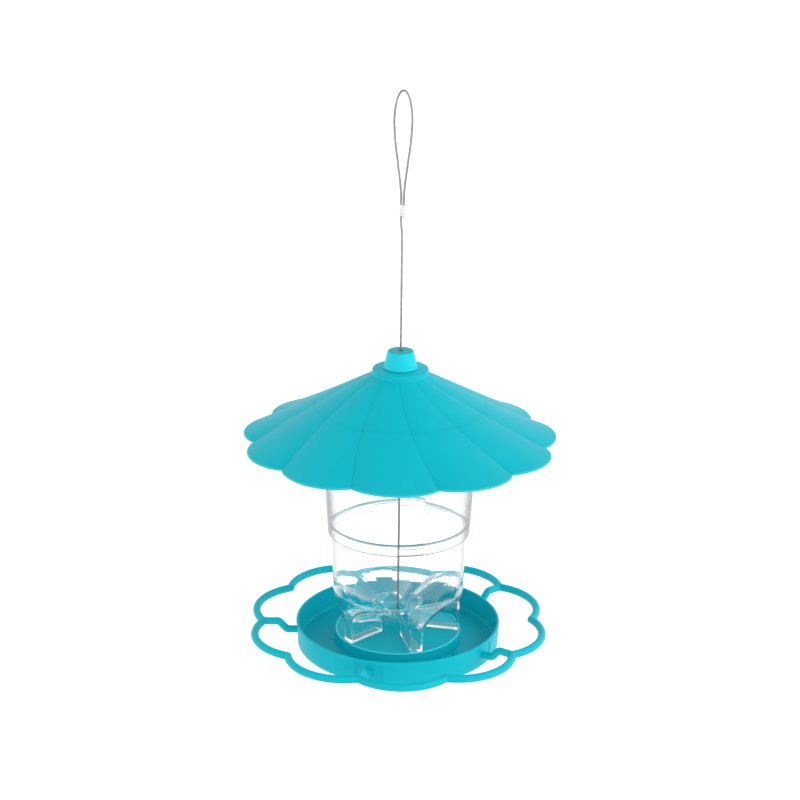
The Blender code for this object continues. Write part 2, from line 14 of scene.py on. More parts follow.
import bmesh
import bpy
from mathutils import Matrix, Vector


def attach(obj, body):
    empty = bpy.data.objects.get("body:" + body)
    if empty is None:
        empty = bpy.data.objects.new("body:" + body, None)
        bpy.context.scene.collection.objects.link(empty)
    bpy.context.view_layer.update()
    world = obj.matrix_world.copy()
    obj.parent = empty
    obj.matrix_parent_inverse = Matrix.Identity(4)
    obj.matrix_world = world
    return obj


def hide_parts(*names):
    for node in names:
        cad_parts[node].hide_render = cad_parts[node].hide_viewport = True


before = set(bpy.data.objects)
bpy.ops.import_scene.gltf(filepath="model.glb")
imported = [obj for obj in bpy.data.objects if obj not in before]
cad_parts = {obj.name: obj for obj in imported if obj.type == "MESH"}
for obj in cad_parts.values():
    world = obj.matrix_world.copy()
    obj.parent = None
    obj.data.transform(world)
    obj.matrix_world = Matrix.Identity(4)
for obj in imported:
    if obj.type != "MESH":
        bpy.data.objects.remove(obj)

LOG = logging.getLogger("feeder")

Spot = tuple[float, float]
Corner = tuple[float, float, float]
Colour = tuple[float, float, float]


class Fusing(Enum):
    """How one solid is worked into another."""

    CUT = "DIFFERENCE"
    WELD = "UNION"


class Zone(Enum):
    """Which level a row of the roof's lattice keeps to."""

    CAP = 0.0
    SKIN = 1.0
    FOOT = 2.0


class Socket(Enum):
    """Kinds of socket in a node group."""

    FLOAT = "NodeSocketFloat"
    COUNT = "NodeSocketInt"
    COLOUR = "NodeSocketColor"
    GEOMETRY = "NodeSocketGeometry"
    MATERIAL = "NodeSocketMaterial"


class Body(Enum):
    """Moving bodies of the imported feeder."""

    TRAY = "tray_body"
    CUP = "cup_body"
    TUBE = "tube_body"
    KNOB = "knob_body"
    ROOF = "roof_body"


@dataclass(frozen=True)
class Stack:
    """Heights above the tray's underside of what stacks up along the rope."""

    rest: float = 0.0100
    flange_low: float = 0.0845
    flange_top: float = 0.0867
    tube_low: float = 0.0798
    tube_top: float = 0.1600
    socket_seat: float = 0.1603
    eave: float = 0.1420
    disc_top: float = 0.188563
    knob_low: float = 0.188863
    knob_top: float = 0.200163
    ferrule_low: float = 0.285963
    ferrule_top: float = 0.293463
    hang: float = 0.363963


STACK = Stack()


@dataclass(frozen=True)
class Lugs:
    """Lugs inside the tube's lower edge, which the notches in the cup's flange let through."""

    count: int = 4
    radius: float = 0.0435
    degrees: float = 20.0
    phase: float = -80.0

    def bearings(self, turned: float = 0.0) -> list[float]:
        """Middles of the lugs, or of what is turned on from them."""
        return [self.phase + turned + 360.0 / self.count * lug for lug in range(self.count)]


LUGS = Lugs()

# Angle in degrees past which an edge stays sharp.
CREASE = 31.0
# Most of a side that one fillet may take.
SIDE_SHARE = 0.49
PLASTIC_IOR = 1.49
# Attributes that say where each vertex of the roof's lattice belongs.
LATTICE = ("around", "along", "zone", "pull", "sink", "open")


def polar(radius: float, degrees: float, height: float = 0.0) -> Vector:
    """Point at a radius, a bearing and a height.

    Args:
        radius: Distance from the rope's axis.
        degrees: Bearing, anticlockwise from +X.
        height: Height above the tray's underside.

    Returns:
        The point.
    """
    angle = math.radians(degrees)
    return Vector((radius * math.cos(angle), radius * math.sin(angle), height))


def rounded(corners: Sequence[Corner], steps: int = 5) -> list[Spot]:
    """Round the corners of a closed outline.

    Args:
        corners: Radius, height and fillet of each corner in turn.
        steps: Chords in each rounded corner.

    Returns:
        The outline's points.
    """
    outline: list[Spot] = []
    for index, (across, up, fillet) in enumerate(corners):
        if fillet <= 0.0:
            outline.append((across, up))
            continue
        here = Vector((across, up))
        back = Vector(corners[index - 1][:2]) - here
        ahead = Vector(corners[(index + 1) % len(corners)][:2]) - here
        half = back.angle(ahead) / 2.0
        longest = SIDE_SHARE * min(back.length, ahead.length)
        reach = min(fillet / math.tan(half), longest)
        radius = reach * math.tan(half)
        centre = here + (back.normalized() + ahead.normalized()).normalized() * (
            radius / math.sin(half)
        )
        first = here + back.normalized() * reach - centre
        last = here + ahead.normalized() * reach - centre
        start = math.atan2(first.y, first.x)
        sweep = math.atan2(last.y, last.x) - start
        sweep = (sweep + math.pi) % (2.0 * math.pi) - math.pi
        for step in range(steps + 1):
            turn = start + sweep * step / steps
            outline.append((
                centre.x + radius * math.cos(turn), centre.y + radius * math.sin(turn)
            ))
    return outline


def arithmetic(operation: str, swapped: bool = False) -> Callable[["Value", Any], "Value"]:
    """Make an operator that adds a Math node.

    Args:
        operation: Name of the operation.
        swapped: The value stands on the operator's right.

    Returns:
        The operator's method.
    """

    def work(value: "Value", other: Any) -> "Value":
        """Give the node both operands in the order that they are written in."""
        return value.wiring.math(operation, *((other, value) if swapped else (value, other)))

    return work


class Value:
    """Output of a node, which takes plain arithmetic."""

    def __init__(self, wiring: "Wiring", socket: bpy.types.NodeSocket) -> None:
        """Keep the output, and the wiring that adds what works on it."""
        self.wiring, self.socket = wiring, socket

    __add__, __radd__ = arithmetic("ADD"), arithmetic("ADD", swapped=True)
    __sub__, __rsub__ = arithmetic("SUBTRACT"), arithmetic("SUBTRACT", swapped=True)
    __mul__, __rmul__ = arithmetic("MULTIPLY"), arithmetic("MULTIPLY", swapped=True)
    __truediv__, __rtruediv__ = arithmetic("DIVIDE"), arithmetic("DIVIDE", swapped=True)


class Wiring:
    """Places nodes in a tree and wires them up."""

    def __init__(self, tree: bpy.types.NodeTree) -> None:
        """Keep the tree that nodes go into."""
        self.tree = tree

    def feed(self, node: bpy.types.Node, wires: dict[Any, Any]) -> None:
        """Link or set inputs of a node.

        Args:
            node: The node.
            wires: Values, colours or plain settings for its inputs, by name or number.
        """
        for key, value in wires.items():
            socket = node.inputs[key]
            if isinstance(value, Value):
                self.tree.links.new(value.socket, socket)
            else:
                socket.default_value = (*value, 1.0) if socket.type == "RGBA" else value

    def add(self, kind: str, wires: dict[Any, Any] | None = None, **settings: Any) -> (
            bpy.types.Node):
        """Add one node.

        Args:
            kind: Identifier of the node type.
            wires: Its inputs, as for feed.
            **settings: Properties set before the inputs.

        Returns:
            The new node.
        """
        node = self.tree.nodes.new(kind)
        for name, setting in settings.items():
            setattr(node, name, setting)
        self.feed(node, wires or {})
        return node

    def read(self, node: bpy.types.Node, output: str | int = 0) -> Value:
        """Take one output of a node, by name or number."""
        return Value(self, node.outputs[output])

    def value(
        self, kind: str, wires: dict[Any, Any] | None = None, output: str | int = 0,
        **settings: Any,
    ) -> Value:
        """Add one node and take one of its outputs.

        Args:
            kind: Identifier of the node type.
            wires: Its inputs, as for feed.
            output: Name or number of the output.
            **settings: Properties set before the inputs.

        Returns:
            The output.
        """
        return self.read(self.add(kind, wires, **settings), output)

    def math(self, operation: str, *operands: Any, clamp: bool = False) -> Value:
        """Add a Math node.

        Args:
            operation: Name of the operation.
            *operands: What it works on.
            clamp: Keep the result between 0 and 1.

        Returns:
            Its result.
        """
        wires = dict(enumerate(operands))
        return self.value("ShaderNodeMath", wires, operation=operation, use_clamp=clamp)

    def vector_math(self, operation: str, *operands: Any, output: str | int = 0) -> Value:
        """Add a Vector Math node.

        Args:
            operation: Name of the operation.
            *operands: What it works on.
            output: Name or number of the output.

        Returns:
            Its result.
        """
        wires = dict(enumerate(operands))
        return self.value("ShaderNodeVectorMath", wires, output, operation=operation)

    def vector(self, *parts: Any) -> Value:
        """Join three numbers into a vector."""
        return self.value("ShaderNodeCombineXYZ", dict(enumerate(parts)))

    def parts(self, vector: Any) -> list[Value]:
        """Part a vector into its three numbers."""
        node = self.add("ShaderNodeSeparateXYZ", {0: vector})
        return [self.read(node, axis) for axis in range(3)]

    def blend(self, factor: Any, low: Any, high: Any) -> Value:
        """Mix two colours.

        Args:
            factor: Share of the second colour.
            low: First colour.
            high: Second colour.

        Returns:
            The mixed colour.
        """
        first, second, mixed = 6, 7, 2
        wires = {0: factor, first: low, second: high}
        return self.value("ShaderNodeMix", wires, mixed, data_type="RGBA")

    def remap(self, value: Any, low: Any, high: Any, first: Any = 0.0, last: Any = 1.0) -> Value:
        """Carry a range of values smoothly onto another.

        Args:
            value: What is carried over.
            low: Start of its range.
            high: End of its range.
            first: Result at the start.
            last: Result at the end.

        Returns:
            The carried value.
        """
        wires = {0: value, 1: low, 2: high, 3: first, 4: last}
        return self.value("ShaderNodeMapRange", wires, interpolation_type="SMOOTHSTEP")


def new_tree(
    name: str, kind: str, inputs: dict[str, Any], outputs: dict[str, Socket]
) -> tuple[Wiring, dict[str, Value], bpy.types.Node]:
    """Start a node group with named sockets.

    Args:
        name: Name of the group.
        kind: Identifier of the tree type.
        inputs: Kind of each input, or its kind and its default, by name.
        outputs: Kind of each output, by name.

    Returns:
        The tree's wiring, the values of its inputs by name, and its output node.
    """
    tree = bpy.data.node_groups.new(name, kind)
    for label, asked in inputs.items():
        socket_kind, default = asked if isinstance(asked, tuple) else (asked, None)
        socket = tree.interface.new_socket(
            label, in_out="INPUT", socket_type=socket_kind.value
        )
        if default is not None:
            socket.default_value = default
    for label, socket_kind in outputs.items():
        tree.interface.new_socket(label, in_out="OUTPUT", socket_type=socket_kind.value)
    wiring = Wiring(tree)
    enter, leave = wiring.add("NodeGroupInput"), wiring.add("NodeGroupOutput")
    return wiring, {label: wiring.read(enter, label) for label in inputs}, leave


def swirl_lag(put: dict[str, Value], radius: Value) -> Value:
    """How far the roof's petals are turned back at a radius.

    Args:
        put: The tree's inputs, by name.
        radius: Distance from the rope's axis.

    Returns:
        The angle, in radians.
    """
    inward = 1.0 - radius / put["Valley Radius"]
    return put["Swirl"] * inward + put["Inner Swirl"] * (inward * inward)


class ShaderKit:
    """Shader groups that more than one finish uses."""

    def __init__(self) -> None:
        """Build each group once."""
        self.mould_grain = self._mould_grain()
        self.handling_marks = self._handling_marks()
        self.petal_shade_and_sink = self._petal_shade_and_sink()

    def _mould_grain(self) -> bpy.types.NodeTree:
        """Build the satin skin of an injection moulding: slow flow bands over a fine grain.

        Returns:
            The group.
        """
        grey = (0.5, 0.5, 0.5, 1.0)
        wiring, put, leave = new_tree(
            "Mould Grain", "ShaderNodeTree",
            {
                "Colour": (Socket.COLOUR, grey),
                "Flow Colour": (Socket.COLOUR, grey),
                "Flow Scale": (Socket.FLOAT, 30.0),
                "Grain Scale": (Socket.FLOAT, 1600.0),
                "Roughness": (Socket.FLOAT, 0.4),
                "Roughness Spread": (Socket.FLOAT, 0.06),
            },
            {"Colour": Socket.COLOUR, "Roughness": Socket.FLOAT, "Height": Socket.FLOAT},
        )
        place = wiring.value("ShaderNodeTexCoord", output="Object")
        flow = wiring.value("ShaderNodeTexNoise", {
            "Vector": place, "Scale": put["Flow Scale"], "Detail": 3.0, "Distortion": 0.8,
        })
        grain = wiring.value("ShaderNodeTexNoise", {
            "Vector": place, "Scale": put["Grain Scale"], "Detail": 2.0,
        })
        bands = wiring.remap(flow, 0.35, 0.65)
        wiring.feed(leave, {
            "Colour": wiring.blend(bands, put["Colour"], put["Flow Colour"]),
            "Roughness": put["Roughness"] + (flow - 0.5) * put["Roughness Spread"] * 2.0,
            "Height": grain,
        })
        return wiring.tree

    def _handling_marks(self) -> bpy.types.NodeTree:
        """Build faint rubs and hairline marks left by handling.

        Returns:
            The group.
        """
        barest, cover_gain, contrast = 0.86, 0.4, 8.0
        wiring, put, leave = new_tree(
            "Handling Marks", "ShaderNodeTree",
            {
                "Scale": (Socket.FLOAT, 60.0),
                "Stretch": (Socket.FLOAT, 6.0),
                "Cover": (Socket.FLOAT, 0.4),
            },
            {"Mask": Socket.FLOAT},
        )
        place = wiring.value("ShaderNodeTexCoord", output="Object")
        drawn = wiring.vector_math("MULTIPLY", place, wiring.vector(1.0, put["Stretch"], 1.0))
        noise = wiring.value("ShaderNodeTexNoise", {
            "Vector": drawn, "Scale": put["Scale"], "Detail": 4.0, "Distortion": 0.4,
        })
        above = noise - (barest - put["Cover"] * cover_gain)
        wiring.feed(leave, {"Mask": wiring.math("MULTIPLY", above, contrast, clamp=True)})
        return wiring.tree

    def _petal_shade_and_sink(self) -> bpy.types.NodeTree:
        """Build masks for the thin painted shade in the roof's creases and for the sink mark over
        its socket.

        Returns:
            The group.
        """
        fade_in = 120.0
        sizes = (
            "Petals", "Phase", "Swirl", "Inner Swirl", "Valley Radius", "Disc Radius",
            "Sink Radius",
        )
        wiring, put, leave = new_tree(
            "Petal Shade And Sink", "ShaderNodeTree",
            {
                **dict.fromkeys(sizes, Socket.FLOAT),
                "Crease Width": (Socket.FLOAT, 0.0007),
                "Sink Width": (Socket.FLOAT, 0.0014),
            },
            {"Crease": Socket.FLOAT, "Sink": Socket.FLOAT},
        )
        place = wiring.value("ShaderNodeTexCoord", output="Object")
        across, along, _ = wiring.parts(place)
        flat = wiring.vector_math("MULTIPLY", place, (1.0, 1.0, 0.0))
        reach = wiring.vector_math("LENGTH", flat, output="Value")
        pitch = math.tau / put["Petals"]
        past = wiring.math("ARCTAN2", along, across) - put["Phase"] + swirl_lag(put, reach)
        turn = past / pitch + put["Petals"]
        nearest = wiring.math("FRACT", turn + 0.5) - 0.5
        clear_of_disc = reach - put["Disc Radius"]
        fade = wiring.math("MULTIPLY", clear_of_disc, fade_in, clamp=True)
        wiring.feed(leave, {
            "Crease": self._bell(nearest * pitch * reach, put["Crease Width"]) * fade,
            "Sink": self._bell(reach - put["Sink Radius"], put["Sink Width"]),
        })
        return wiring.tree

    def _bell(self, away: Value, width: Value) -> Value:
        """Fall off smoothly on both sides of nought.

        Args:
            away: Distance from nought.
            width: Distance at which little is left.

        Returns:
            One at nought, and less on both sides.
        """
        share = away / width
        return away.wiring.math("EXPONENT", share * share * -1.0)

    def skin(
        self, wiring: Wiring, grain: dict[str, Any], marks: dict[str, Any], rub: float,
        relief: dict[str, Any],
    ) -> tuple[Value, Value, Value, Value]:
        """Lay the grain and the marks of one finish.

        Args:
            wiring: Wiring of the material.
            grain: Inputs of the mould grain, by name.
            marks: Inputs of the handling marks, by name.
            rub: How much rougher a mark is.
            relief: Inputs of the bump besides its height, by name.

        Returns:
            The colour, the marks' mask, the roughness and the normal.
        """
        skin = wiring.add("ShaderNodeGroup", grain, node_tree=self.mould_grain)
        worn = wiring.value("ShaderNodeGroup", marks, node_tree=self.handling_marks)
        height = wiring.read(skin, "Height")
        normal = wiring.value("ShaderNodeBump", {"Strength": 1.0, "Height": height, **relief})
        rough = wiring.read(skin, "Roughness") + worn * rub
        return wiring.read(skin, "Colour"), worn, rough, normal


def blank_material(name: str, colour: Colour) -> tuple[
        bpy.types.Material, Wiring, bpy.types.Node]:
    """Start a material from its Principled shader.

    Args:
        name: Name of the material.
        colour: Its plain colour.

    Returns:
        The material, its wiring and its shader.
    """
    material = bpy.data.materials.new(name)
    material.use_nodes = True
    material.diffuse_color = (*colour, 1.0)
    return material, Wiring(material.node_tree), material.node_tree.nodes["Principled BSDF"]


@dataclass(frozen=True)
class Band:
    """Level of a piece with painted shade or a painted highlight, within two distances of the
    rope's axis.
    """

    span: Spot
    colour: Colour
    share: float
    reach: Spot = (-1.0, 1.0)

    @classmethod
    def at(cls, level: float, below: float, above: float, colour: Colour, share: float) -> "Band":
        """Band a little way below and above a level.

        Args:
            level: Height above the tray's underside.
            below: How far down it goes.
            above: How far up it goes.
            colour: Its shade.
            share: How much of that shade it takes.

        Returns:
            The band.
        """
        return cls((level - below, level + above), colour, share)

    def mask(self, wiring: Wiring) -> Value:
        """Mask of the band.

        Args:
            wiring: Wiring of the material.

        Returns:
            The band's share inside it, nought elsewhere.
        """
        place = wiring.value("ShaderNodeTexCoord", output="Object")
        across, along, height = wiring.parts(place)
        distance = wiring.math("SQRT", across * across + along * along)
        levels = tuple(level - STACK.hang for level in self.span)
        mask: Any = self.share
        for value, bounds in ((height, levels), (distance, self.reach)):
            for operation, bound in zip(("GREATER_THAN", "LESS_THAN"), bounds):
                mask = wiring.math(operation, value, bound) * mask
        return mask

    def over(self, wiring: Wiring, colour: Value) -> Value:
        """Lay the band's colour over another."""
        return wiring.blend(self.mask(wiring), colour, self.colour)


@dataclass(frozen=True)
class MouldedPlastic:
    """Satin opaque moulding."""

    name: str
    colour: Colour
    flow_colour: Colour
    band: Band
    petal_values: dict[str, float] | None = None
    roughness: float = 0.44
    grain_depth: float = 0.000012
    specular: float = 0.11
    mark_scale: float = 45.0
    mark_cover: float = 0.3
    mark_roughness: float = 0.06
    mark_share: float = 0.35
    mark_gain: float = 1.06
    mark_lift: float = 0.01
    crease_shade: float = 0.16
    sink_shade: float = 0.09
    shade_depth: float = 0.35
    sink_height: float = -0.00006

    def material(self, kit: ShaderKit) -> bpy.types.Material:
        """Build the material.

        Args:
            kit: Shared shader groups.

        Returns:
            The material.
        """
        material, wiring, shader = blank_material(self.name, self.colour)
        colour, worn, rough, normal = kit.skin(wiring, {
            "Colour": self.colour, "Flow Colour": self.flow_colour, "Roughness": self.roughness,
        }, {
            "Scale": self.mark_scale, "Cover": self.mark_cover,
        }, self.mark_roughness, {"Distance": self.grain_depth})
        pale = (min(1.0, part * self.mark_gain + self.mark_lift) for part in self.colour)
        colour = wiring.blend(worn * self.mark_share, colour, tuple(pale))
        if self.petal_values:
            petal = wiring.add("ShaderNodeGroup", self.petal_values, node_tree=kit.petal_shade_and_sink)
            crease, sink = wiring.read(petal, "Crease"), wiring.read(petal, "Sink")
            # Painted shade: the colour darkens along the roof's creases and along the sink mark
            # over its socket; the sink mark also gets a real dip as a bump.
            dark = tuple(part * self.shade_depth for part in self.colour)
            shade = crease * self.crease_shade + sink * self.sink_shade
            colour = wiring.blend(shade, colour, dark)
            normal = wiring.value("ShaderNodeBump", {
                "Strength": 1.0, "Distance": self.sink_height, "Height": sink, "Normal": normal,
            })
        wiring.feed(shader, {
            "Base Color": self.band.over(wiring, colour), "Roughness": rough, "Normal": normal,
            "IOR": PLASTIC_IOR, "Specular IOR Level": self.specular,
        })
        return material


@dataclass(frozen=True)
class ClearPlastic:
    """Glossy see-through moulding."""

    name: str
    # The outline colour and the lip band are painted shade: dark lines at the silhouettes and along
    # the lip.
    painted_outline_colour: Colour
    painted_outline_span: Spot
    lip: Band
    colour: Colour = (0.990, 0.996, 0.996)
    flow_gain: float = 1.01
    roughness: float = 0.02
    roughness_spread: float = 0.01
    ripple_scale: float = 70.0
    ripple_depth: float = 0.00002
    mark_scale: float = 30.0
    mark_stretch: float = 2.0
    mark_cover: float = 0.35
    mark_roughness: float = 0.05
    shade: float = 0.15
    tint_depth: float = 4.5
    deepest: float = 9.0
    most_bounces: float = 1.5
    gloss: float = 0.22
    rounding: float = 0.00045
    bend_span: Spot = (0.995, 0.93)
    edge_roughness: float = 0.45

    def material(self, kit: ShaderKit) -> bpy.types.Material:
        """Build the material.

        Args:
            kit: Shared shader groups.

        Returns:
            The material.
        """
        material, wiring, shader = blank_material(self.name, self.colour)
        soft = wiring.value("ShaderNodeBevel", {"Radius": self.rounding}, samples=4)
        colour, _, rough, normal = kit.skin(wiring, {
            "Colour": self.colour,
            "Flow Colour": tuple(min(1.0, part * self.flow_gain) for part in self.colour),
            "Grain Scale": self.ripple_scale, "Roughness": self.roughness,
            "Roughness Spread": self.roughness_spread,
        }, {
            "Scale": self.mark_scale, "Stretch": self.mark_stretch, "Cover": self.mark_cover,
        }, self.mark_roughness, {"Distance": self.ripple_depth, "Normal": soft})
        flat = wiring.value("ShaderNodeNewGeometry", output="Normal")
        bend = wiring.vector_math("DOT_PRODUCT", soft, flat, output="Value")
        edge = wiring.remap(bend, *self.bend_span)
        slant = wiring.value("ShaderNodeLayerWeight", {"Blend": 0.5}, "Facing")
        path = wiring.add("ShaderNodeLightPath")
        depth, glossy, shadow = (
            wiring.read(path, label) for label in ("Ray Depth", "Glossy Depth", "Is Shadow Ray")
        )
        fresh = wiring.math("LESS_THAN", depth, self.tint_depth)
        # Painted shade: darker towards the silhouettes and in the lip band, on the first few
        # bounces only.
        rim = wiring.math("POWER", wiring.remap(slant, *self.painted_outline_span), 2.0) * fresh
        tint = wiring.blend(rim, colour, self.painted_outline_colour)
        tint = wiring.blend(self.lip.mask(wiring) * fresh, tint, self.lip.colour)
        spent = wiring.math(
            "MAXIMUM", wiring.math("GREATER_THAN", depth, self.deepest),
            wiring.math("GREATER_THAN", glossy, self.most_bounces),
        )
        wiring.feed(shader, {
            "Base Color": tint,
            "Roughness": wiring.math("MAXIMUM", rough, edge * self.edge_roughness),
            "Normal": normal,
            "Alpha": 1.0 - wiring.math("MAXIMUM", shadow * (1.0 - self.shade), spent),
            "Transmission Weight": 1.0, "IOR": PLASTIC_IOR, "Specular IOR Level": self.gloss,
        })
        return material


@dataclass(frozen=True)
class BareMetal:
    """Drawn, crimped or stamped metal."""

    name: str
    colour: Colour
    dull_colour: Colour
    roughness: float = 0.32
    painted_groove_colour: Colour | None = None
    painted_groove_span: Spot = (0.12, 0.42)
    band: Band | None = None
    dull_scale: float = 260.0
    grain_scale: float = 900.0
    grain_depth: float = 0.00001
    mark_scale: float = 300.0
    mark_roughness: float = 0.12

    def material(self, kit: ShaderKit) -> bpy.types.Material:
        """Build the material.

        Args:
            kit: Shared shader groups.

        Returns:
            The material.
        """
        material, wiring, shader = blank_material(self.name, self.colour)
        colour, _, rough, normal = kit.skin(wiring, {
            "Colour": self.colour, "Flow Colour": self.dull_colour,
            "Flow Scale": self.dull_scale, "Grain Scale": self.grain_scale,
            "Roughness": self.roughness,
        }, {"Scale": self.mark_scale}, self.mark_roughness, {"Distance": self.grain_depth})
        # Painted shade: the strands darken where they turn in towards the core, in the grooves
        # between them.
        if self.painted_groove_colour:
            crown = wiring.value("ShaderNodeAttribute", output="Fac", attribute_name="crown")
            lit = wiring.remap(crown, *self.painted_groove_span)
            colour = wiring.blend(lit, self.painted_groove_colour, colour)
        if self.band:
            colour = self.band.over(wiring, colour)
        wiring.feed(shader, {
            "Base Color": colour, "Roughness": rough, "Normal": normal, "Metallic": 1.0,
        })
        return material


class Workshop:
    """Makes, cuts and settles the feeder's meshes."""

    def __init__(self) -> None:
        """Take the scene's collection, where the pieces go."""
        self.collection = bpy.context.scene.collection

    def place(self, name: str, mesh: bpy.types.Mesh) -> bpy.types.Object:
        """Link a mesh as an object at the origin.

        Args:
            name: Name of the object.
            mesh: Its mesh.

        Returns:
            The object.
        """
        piece = bpy.data.objects.new(name, mesh)
        self.collection.objects.link(piece)
        return piece

    def smooth(self, piece: bpy.types.Object, crease: float = CREASE) -> bpy.types.Object:
        """Smooth an object's faces and keep its sharp edges.

        Args:
            piece: The object, changed in place.
            crease: Angle in degrees past which an edge stays sharp.

        Returns:
            The object.
        """
        piece.data.shade_smooth()
        piece.data.set_sharp_from_angle(angle=math.radians(crease))
        return piece

    def scrap(self, piece: bpy.types.Object) -> None:
        """Throw an object away with its mesh.

        Args:
            piece: The object.
        """
        mesh = piece.data
        bpy.data.objects.remove(piece, do_unlink=True)
        bpy.data.meshes.remove(mesh)

    def close(
        self, name: str, builder: bmesh.types.BMesh, crease: float = CREASE
    ) -> bpy.types.Object:
        """Finish a bmesh drawn in heights, and hang it in its place.

        Args:
            name: Name of the object.
            builder: The bmesh, freed here.
            crease: Angle in degrees past which an edge stays sharp.

        Returns:
            The object.
        """
        bmesh.ops.recalc_face_normals(builder, faces=builder.faces)
        bmesh.ops.translate(builder, verts=builder.verts, vec=(0.0, 0.0, -STACK.hang))
        mesh = bpy.data.meshes.new(name)
        builder.to_mesh(mesh)
        builder.free()
        return self.smooth(self.place(name, mesh), crease)

    def bridge(
        self,
        builder: bmesh.types.BMesh,
        low: Sequence[bmesh.types.BMVert],
        high: Sequence[bmesh.types.BMVert],
    ) -> None:
        """Join two rings of vertices, or a ring and a pole.

        Args:
            builder: The bmesh that holds them.
            low: First ring, or one vertex.
            high: Second ring, or one vertex.
        """
        longest = max(len(low), len(high))
        for index in range(longest):
            following = (index + 1) % longest
            corners: list[bmesh.types.BMVert] = []
            for ring, order in ((low, (index, following)), (high, (following, index))):
                corners.extend([ring[0]] if len(ring) == 1 else [ring[step] for step in order])
            builder.faces.new(corners)

    def turn(self, name: str, outline: Sequence[Spot], segments: int = 220) -> bpy.types.Object:
        """Turn a closed outline about the rope's axis.

        Args:
            name: Name of the object.
            outline: Radius and height of each point in turn.
            segments: Steps round the axis.

        Returns:
            The turned solid.
        """
        builder = bmesh.new()
        rings = []
        for radius, height in outline:
            if radius <= 0.0:
                rings.append([builder.verts.new((0.0, 0.0, height))])
                continue
            rings.append([
                builder.verts.new(polar(radius, 360.0 * step / segments, height))
                for step in range(segments)
            ])
        for low, high in zip(rings, rings[1:] + rings[:1]):
            if len(low) > 1 or len(high) > 1:
                self.bridge(builder, low, high)
        return self.close(name, builder)

    def loft(self, builder: bmesh.types.BMesh, sections: Sequence[Sequence[Vector]]) -> None:
        """Skin a run of outlines that have the same number of points, and fill its ends.

        Args:
            builder: The bmesh to draw in.
            sections: The outlines in turn.
        """
        rings = [[builder.verts.new(point) for point in section] for section in sections]
        for low, high in zip(rings, rings[1:]):
            self.bridge(builder, low, high)
        builder.faces.new(rings[0])
        builder.faces.new(list(reversed(rings[-1])))

    def sectors(
        self, name: str, section: Sequence[Spot], bearings: Iterable[float], degrees: float,
        steps: int,
    ) -> bpy.types.Object:
        """Sweep a section part of the way round the rope's axis, at several bearings.

        Args:
            name: Name of the object.
            section: Radius and height of the section's corners.
            bearings: Middle of each sweep.
            degrees: How far each sweep goes.
            steps: Steps in each sweep.

        Returns:
            The blocks as one tool.
        """
        builder = bmesh.new()
        for bearing in bearings:
            self.loft(builder, [
                [polar(radius, bearing + degrees * (step / steps - 0.5), height)
                 for radius, height in section]
                for step in range(steps + 1)
            ])
        return self.close(name, builder)

    def settle(self, piece: bpy.types.Object) -> None:
        """Turn an object with modifiers into a plain mesh.

        Args:
            piece: The object, changed in place.
        """
        graph = bpy.context.evaluated_depsgraph_get()
        mesh = bpy.data.meshes.new_from_object(
            piece.evaluated_get(graph), preserve_all_data_layers=True, depsgraph=graph
        )
        piece.modifiers.clear()
        worn_out = piece.data
        piece.data = mesh
        mesh.name = piece.name
        bpy.data.meshes.remove(worn_out)

    def fuse(
        self, piece: bpy.types.Object, tool: bpy.types.Object, how: Fusing = Fusing.CUT
    ) -> None:
        """Cut or weld a solid with a tool, which is used up.

        Args:
            piece: The solid to work on.
            tool: The solid worked into it.
            how: Cut away or weld on.
        """
        modifier = piece.modifiers.new(tool.name, "BOOLEAN")
        modifier.object = tool
        modifier.operation = how.value
        modifier.solver = "EXACT"
        self.settle(piece)
        self.scrap(tool)

    def grow(
        self,
        name: str,
        tree: bpy.types.NodeTree,
        values: dict[str, Any],
        source: bpy.types.Mesh | None = None,
    ) -> bpy.types.Object:
        """Run a geometry tree and keep its result as a plain mesh.

        Args:
            name: Name of the object.
            tree: The geometry tree.
            values: Its inputs, by name.
            source: Mesh that the tree works on, if it needs one.

        Returns:
            The grown object.
        """
        piece = self.place(name, source or bpy.data.meshes.new(name))
        modifier = piece.modifiers.new(tree.name, "NODES")
        modifier.node_group = tree
        for item in tree.interface.items_tree:
            if item.item_type == "SOCKET" and item.in_out == "INPUT" and item.name in values:
                modifier[item.identifier] = values[item.name]
        self.settle(piece)
        return piece

    def gather(self, name: str, parts: Sequence[bpy.types.Object]) -> bpy.types.Object:
        """Join plain meshes into one object.

        Args:
            name: Name of the joined object.
            parts: The objects, used up.

        Returns:
            The joined object.
        """
        builder = bmesh.new()
        for part in parts:
            builder.from_mesh(part.data)
            self.scrap(part)
        mesh = bpy.data.meshes.new(name)
        builder.to_mesh(mesh)
        builder.free()
        return self.place(name, mesh)

    def dress(
        self,
        piece: bpy.types.Object,
        material: bpy.types.Material,
        body: Body,
        node: str,
        slot: str,
    ) -> None:
        """Give a piece its finish and let it stand for a solid of the frame.

        Args:
            piece: The finished piece.
            material: Its finish.
            body: The body that carries it.
            node: The solid that it stands for.
            slot: The record's material slot; not used.
        """
        piece.data.materials.clear()
        piece.data.materials.append(material)
        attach(piece, body.value)
        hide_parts(node)
        LOG.info("%s: %d vertices on %s", piece.name, len(piece.data.vertices), body.value)


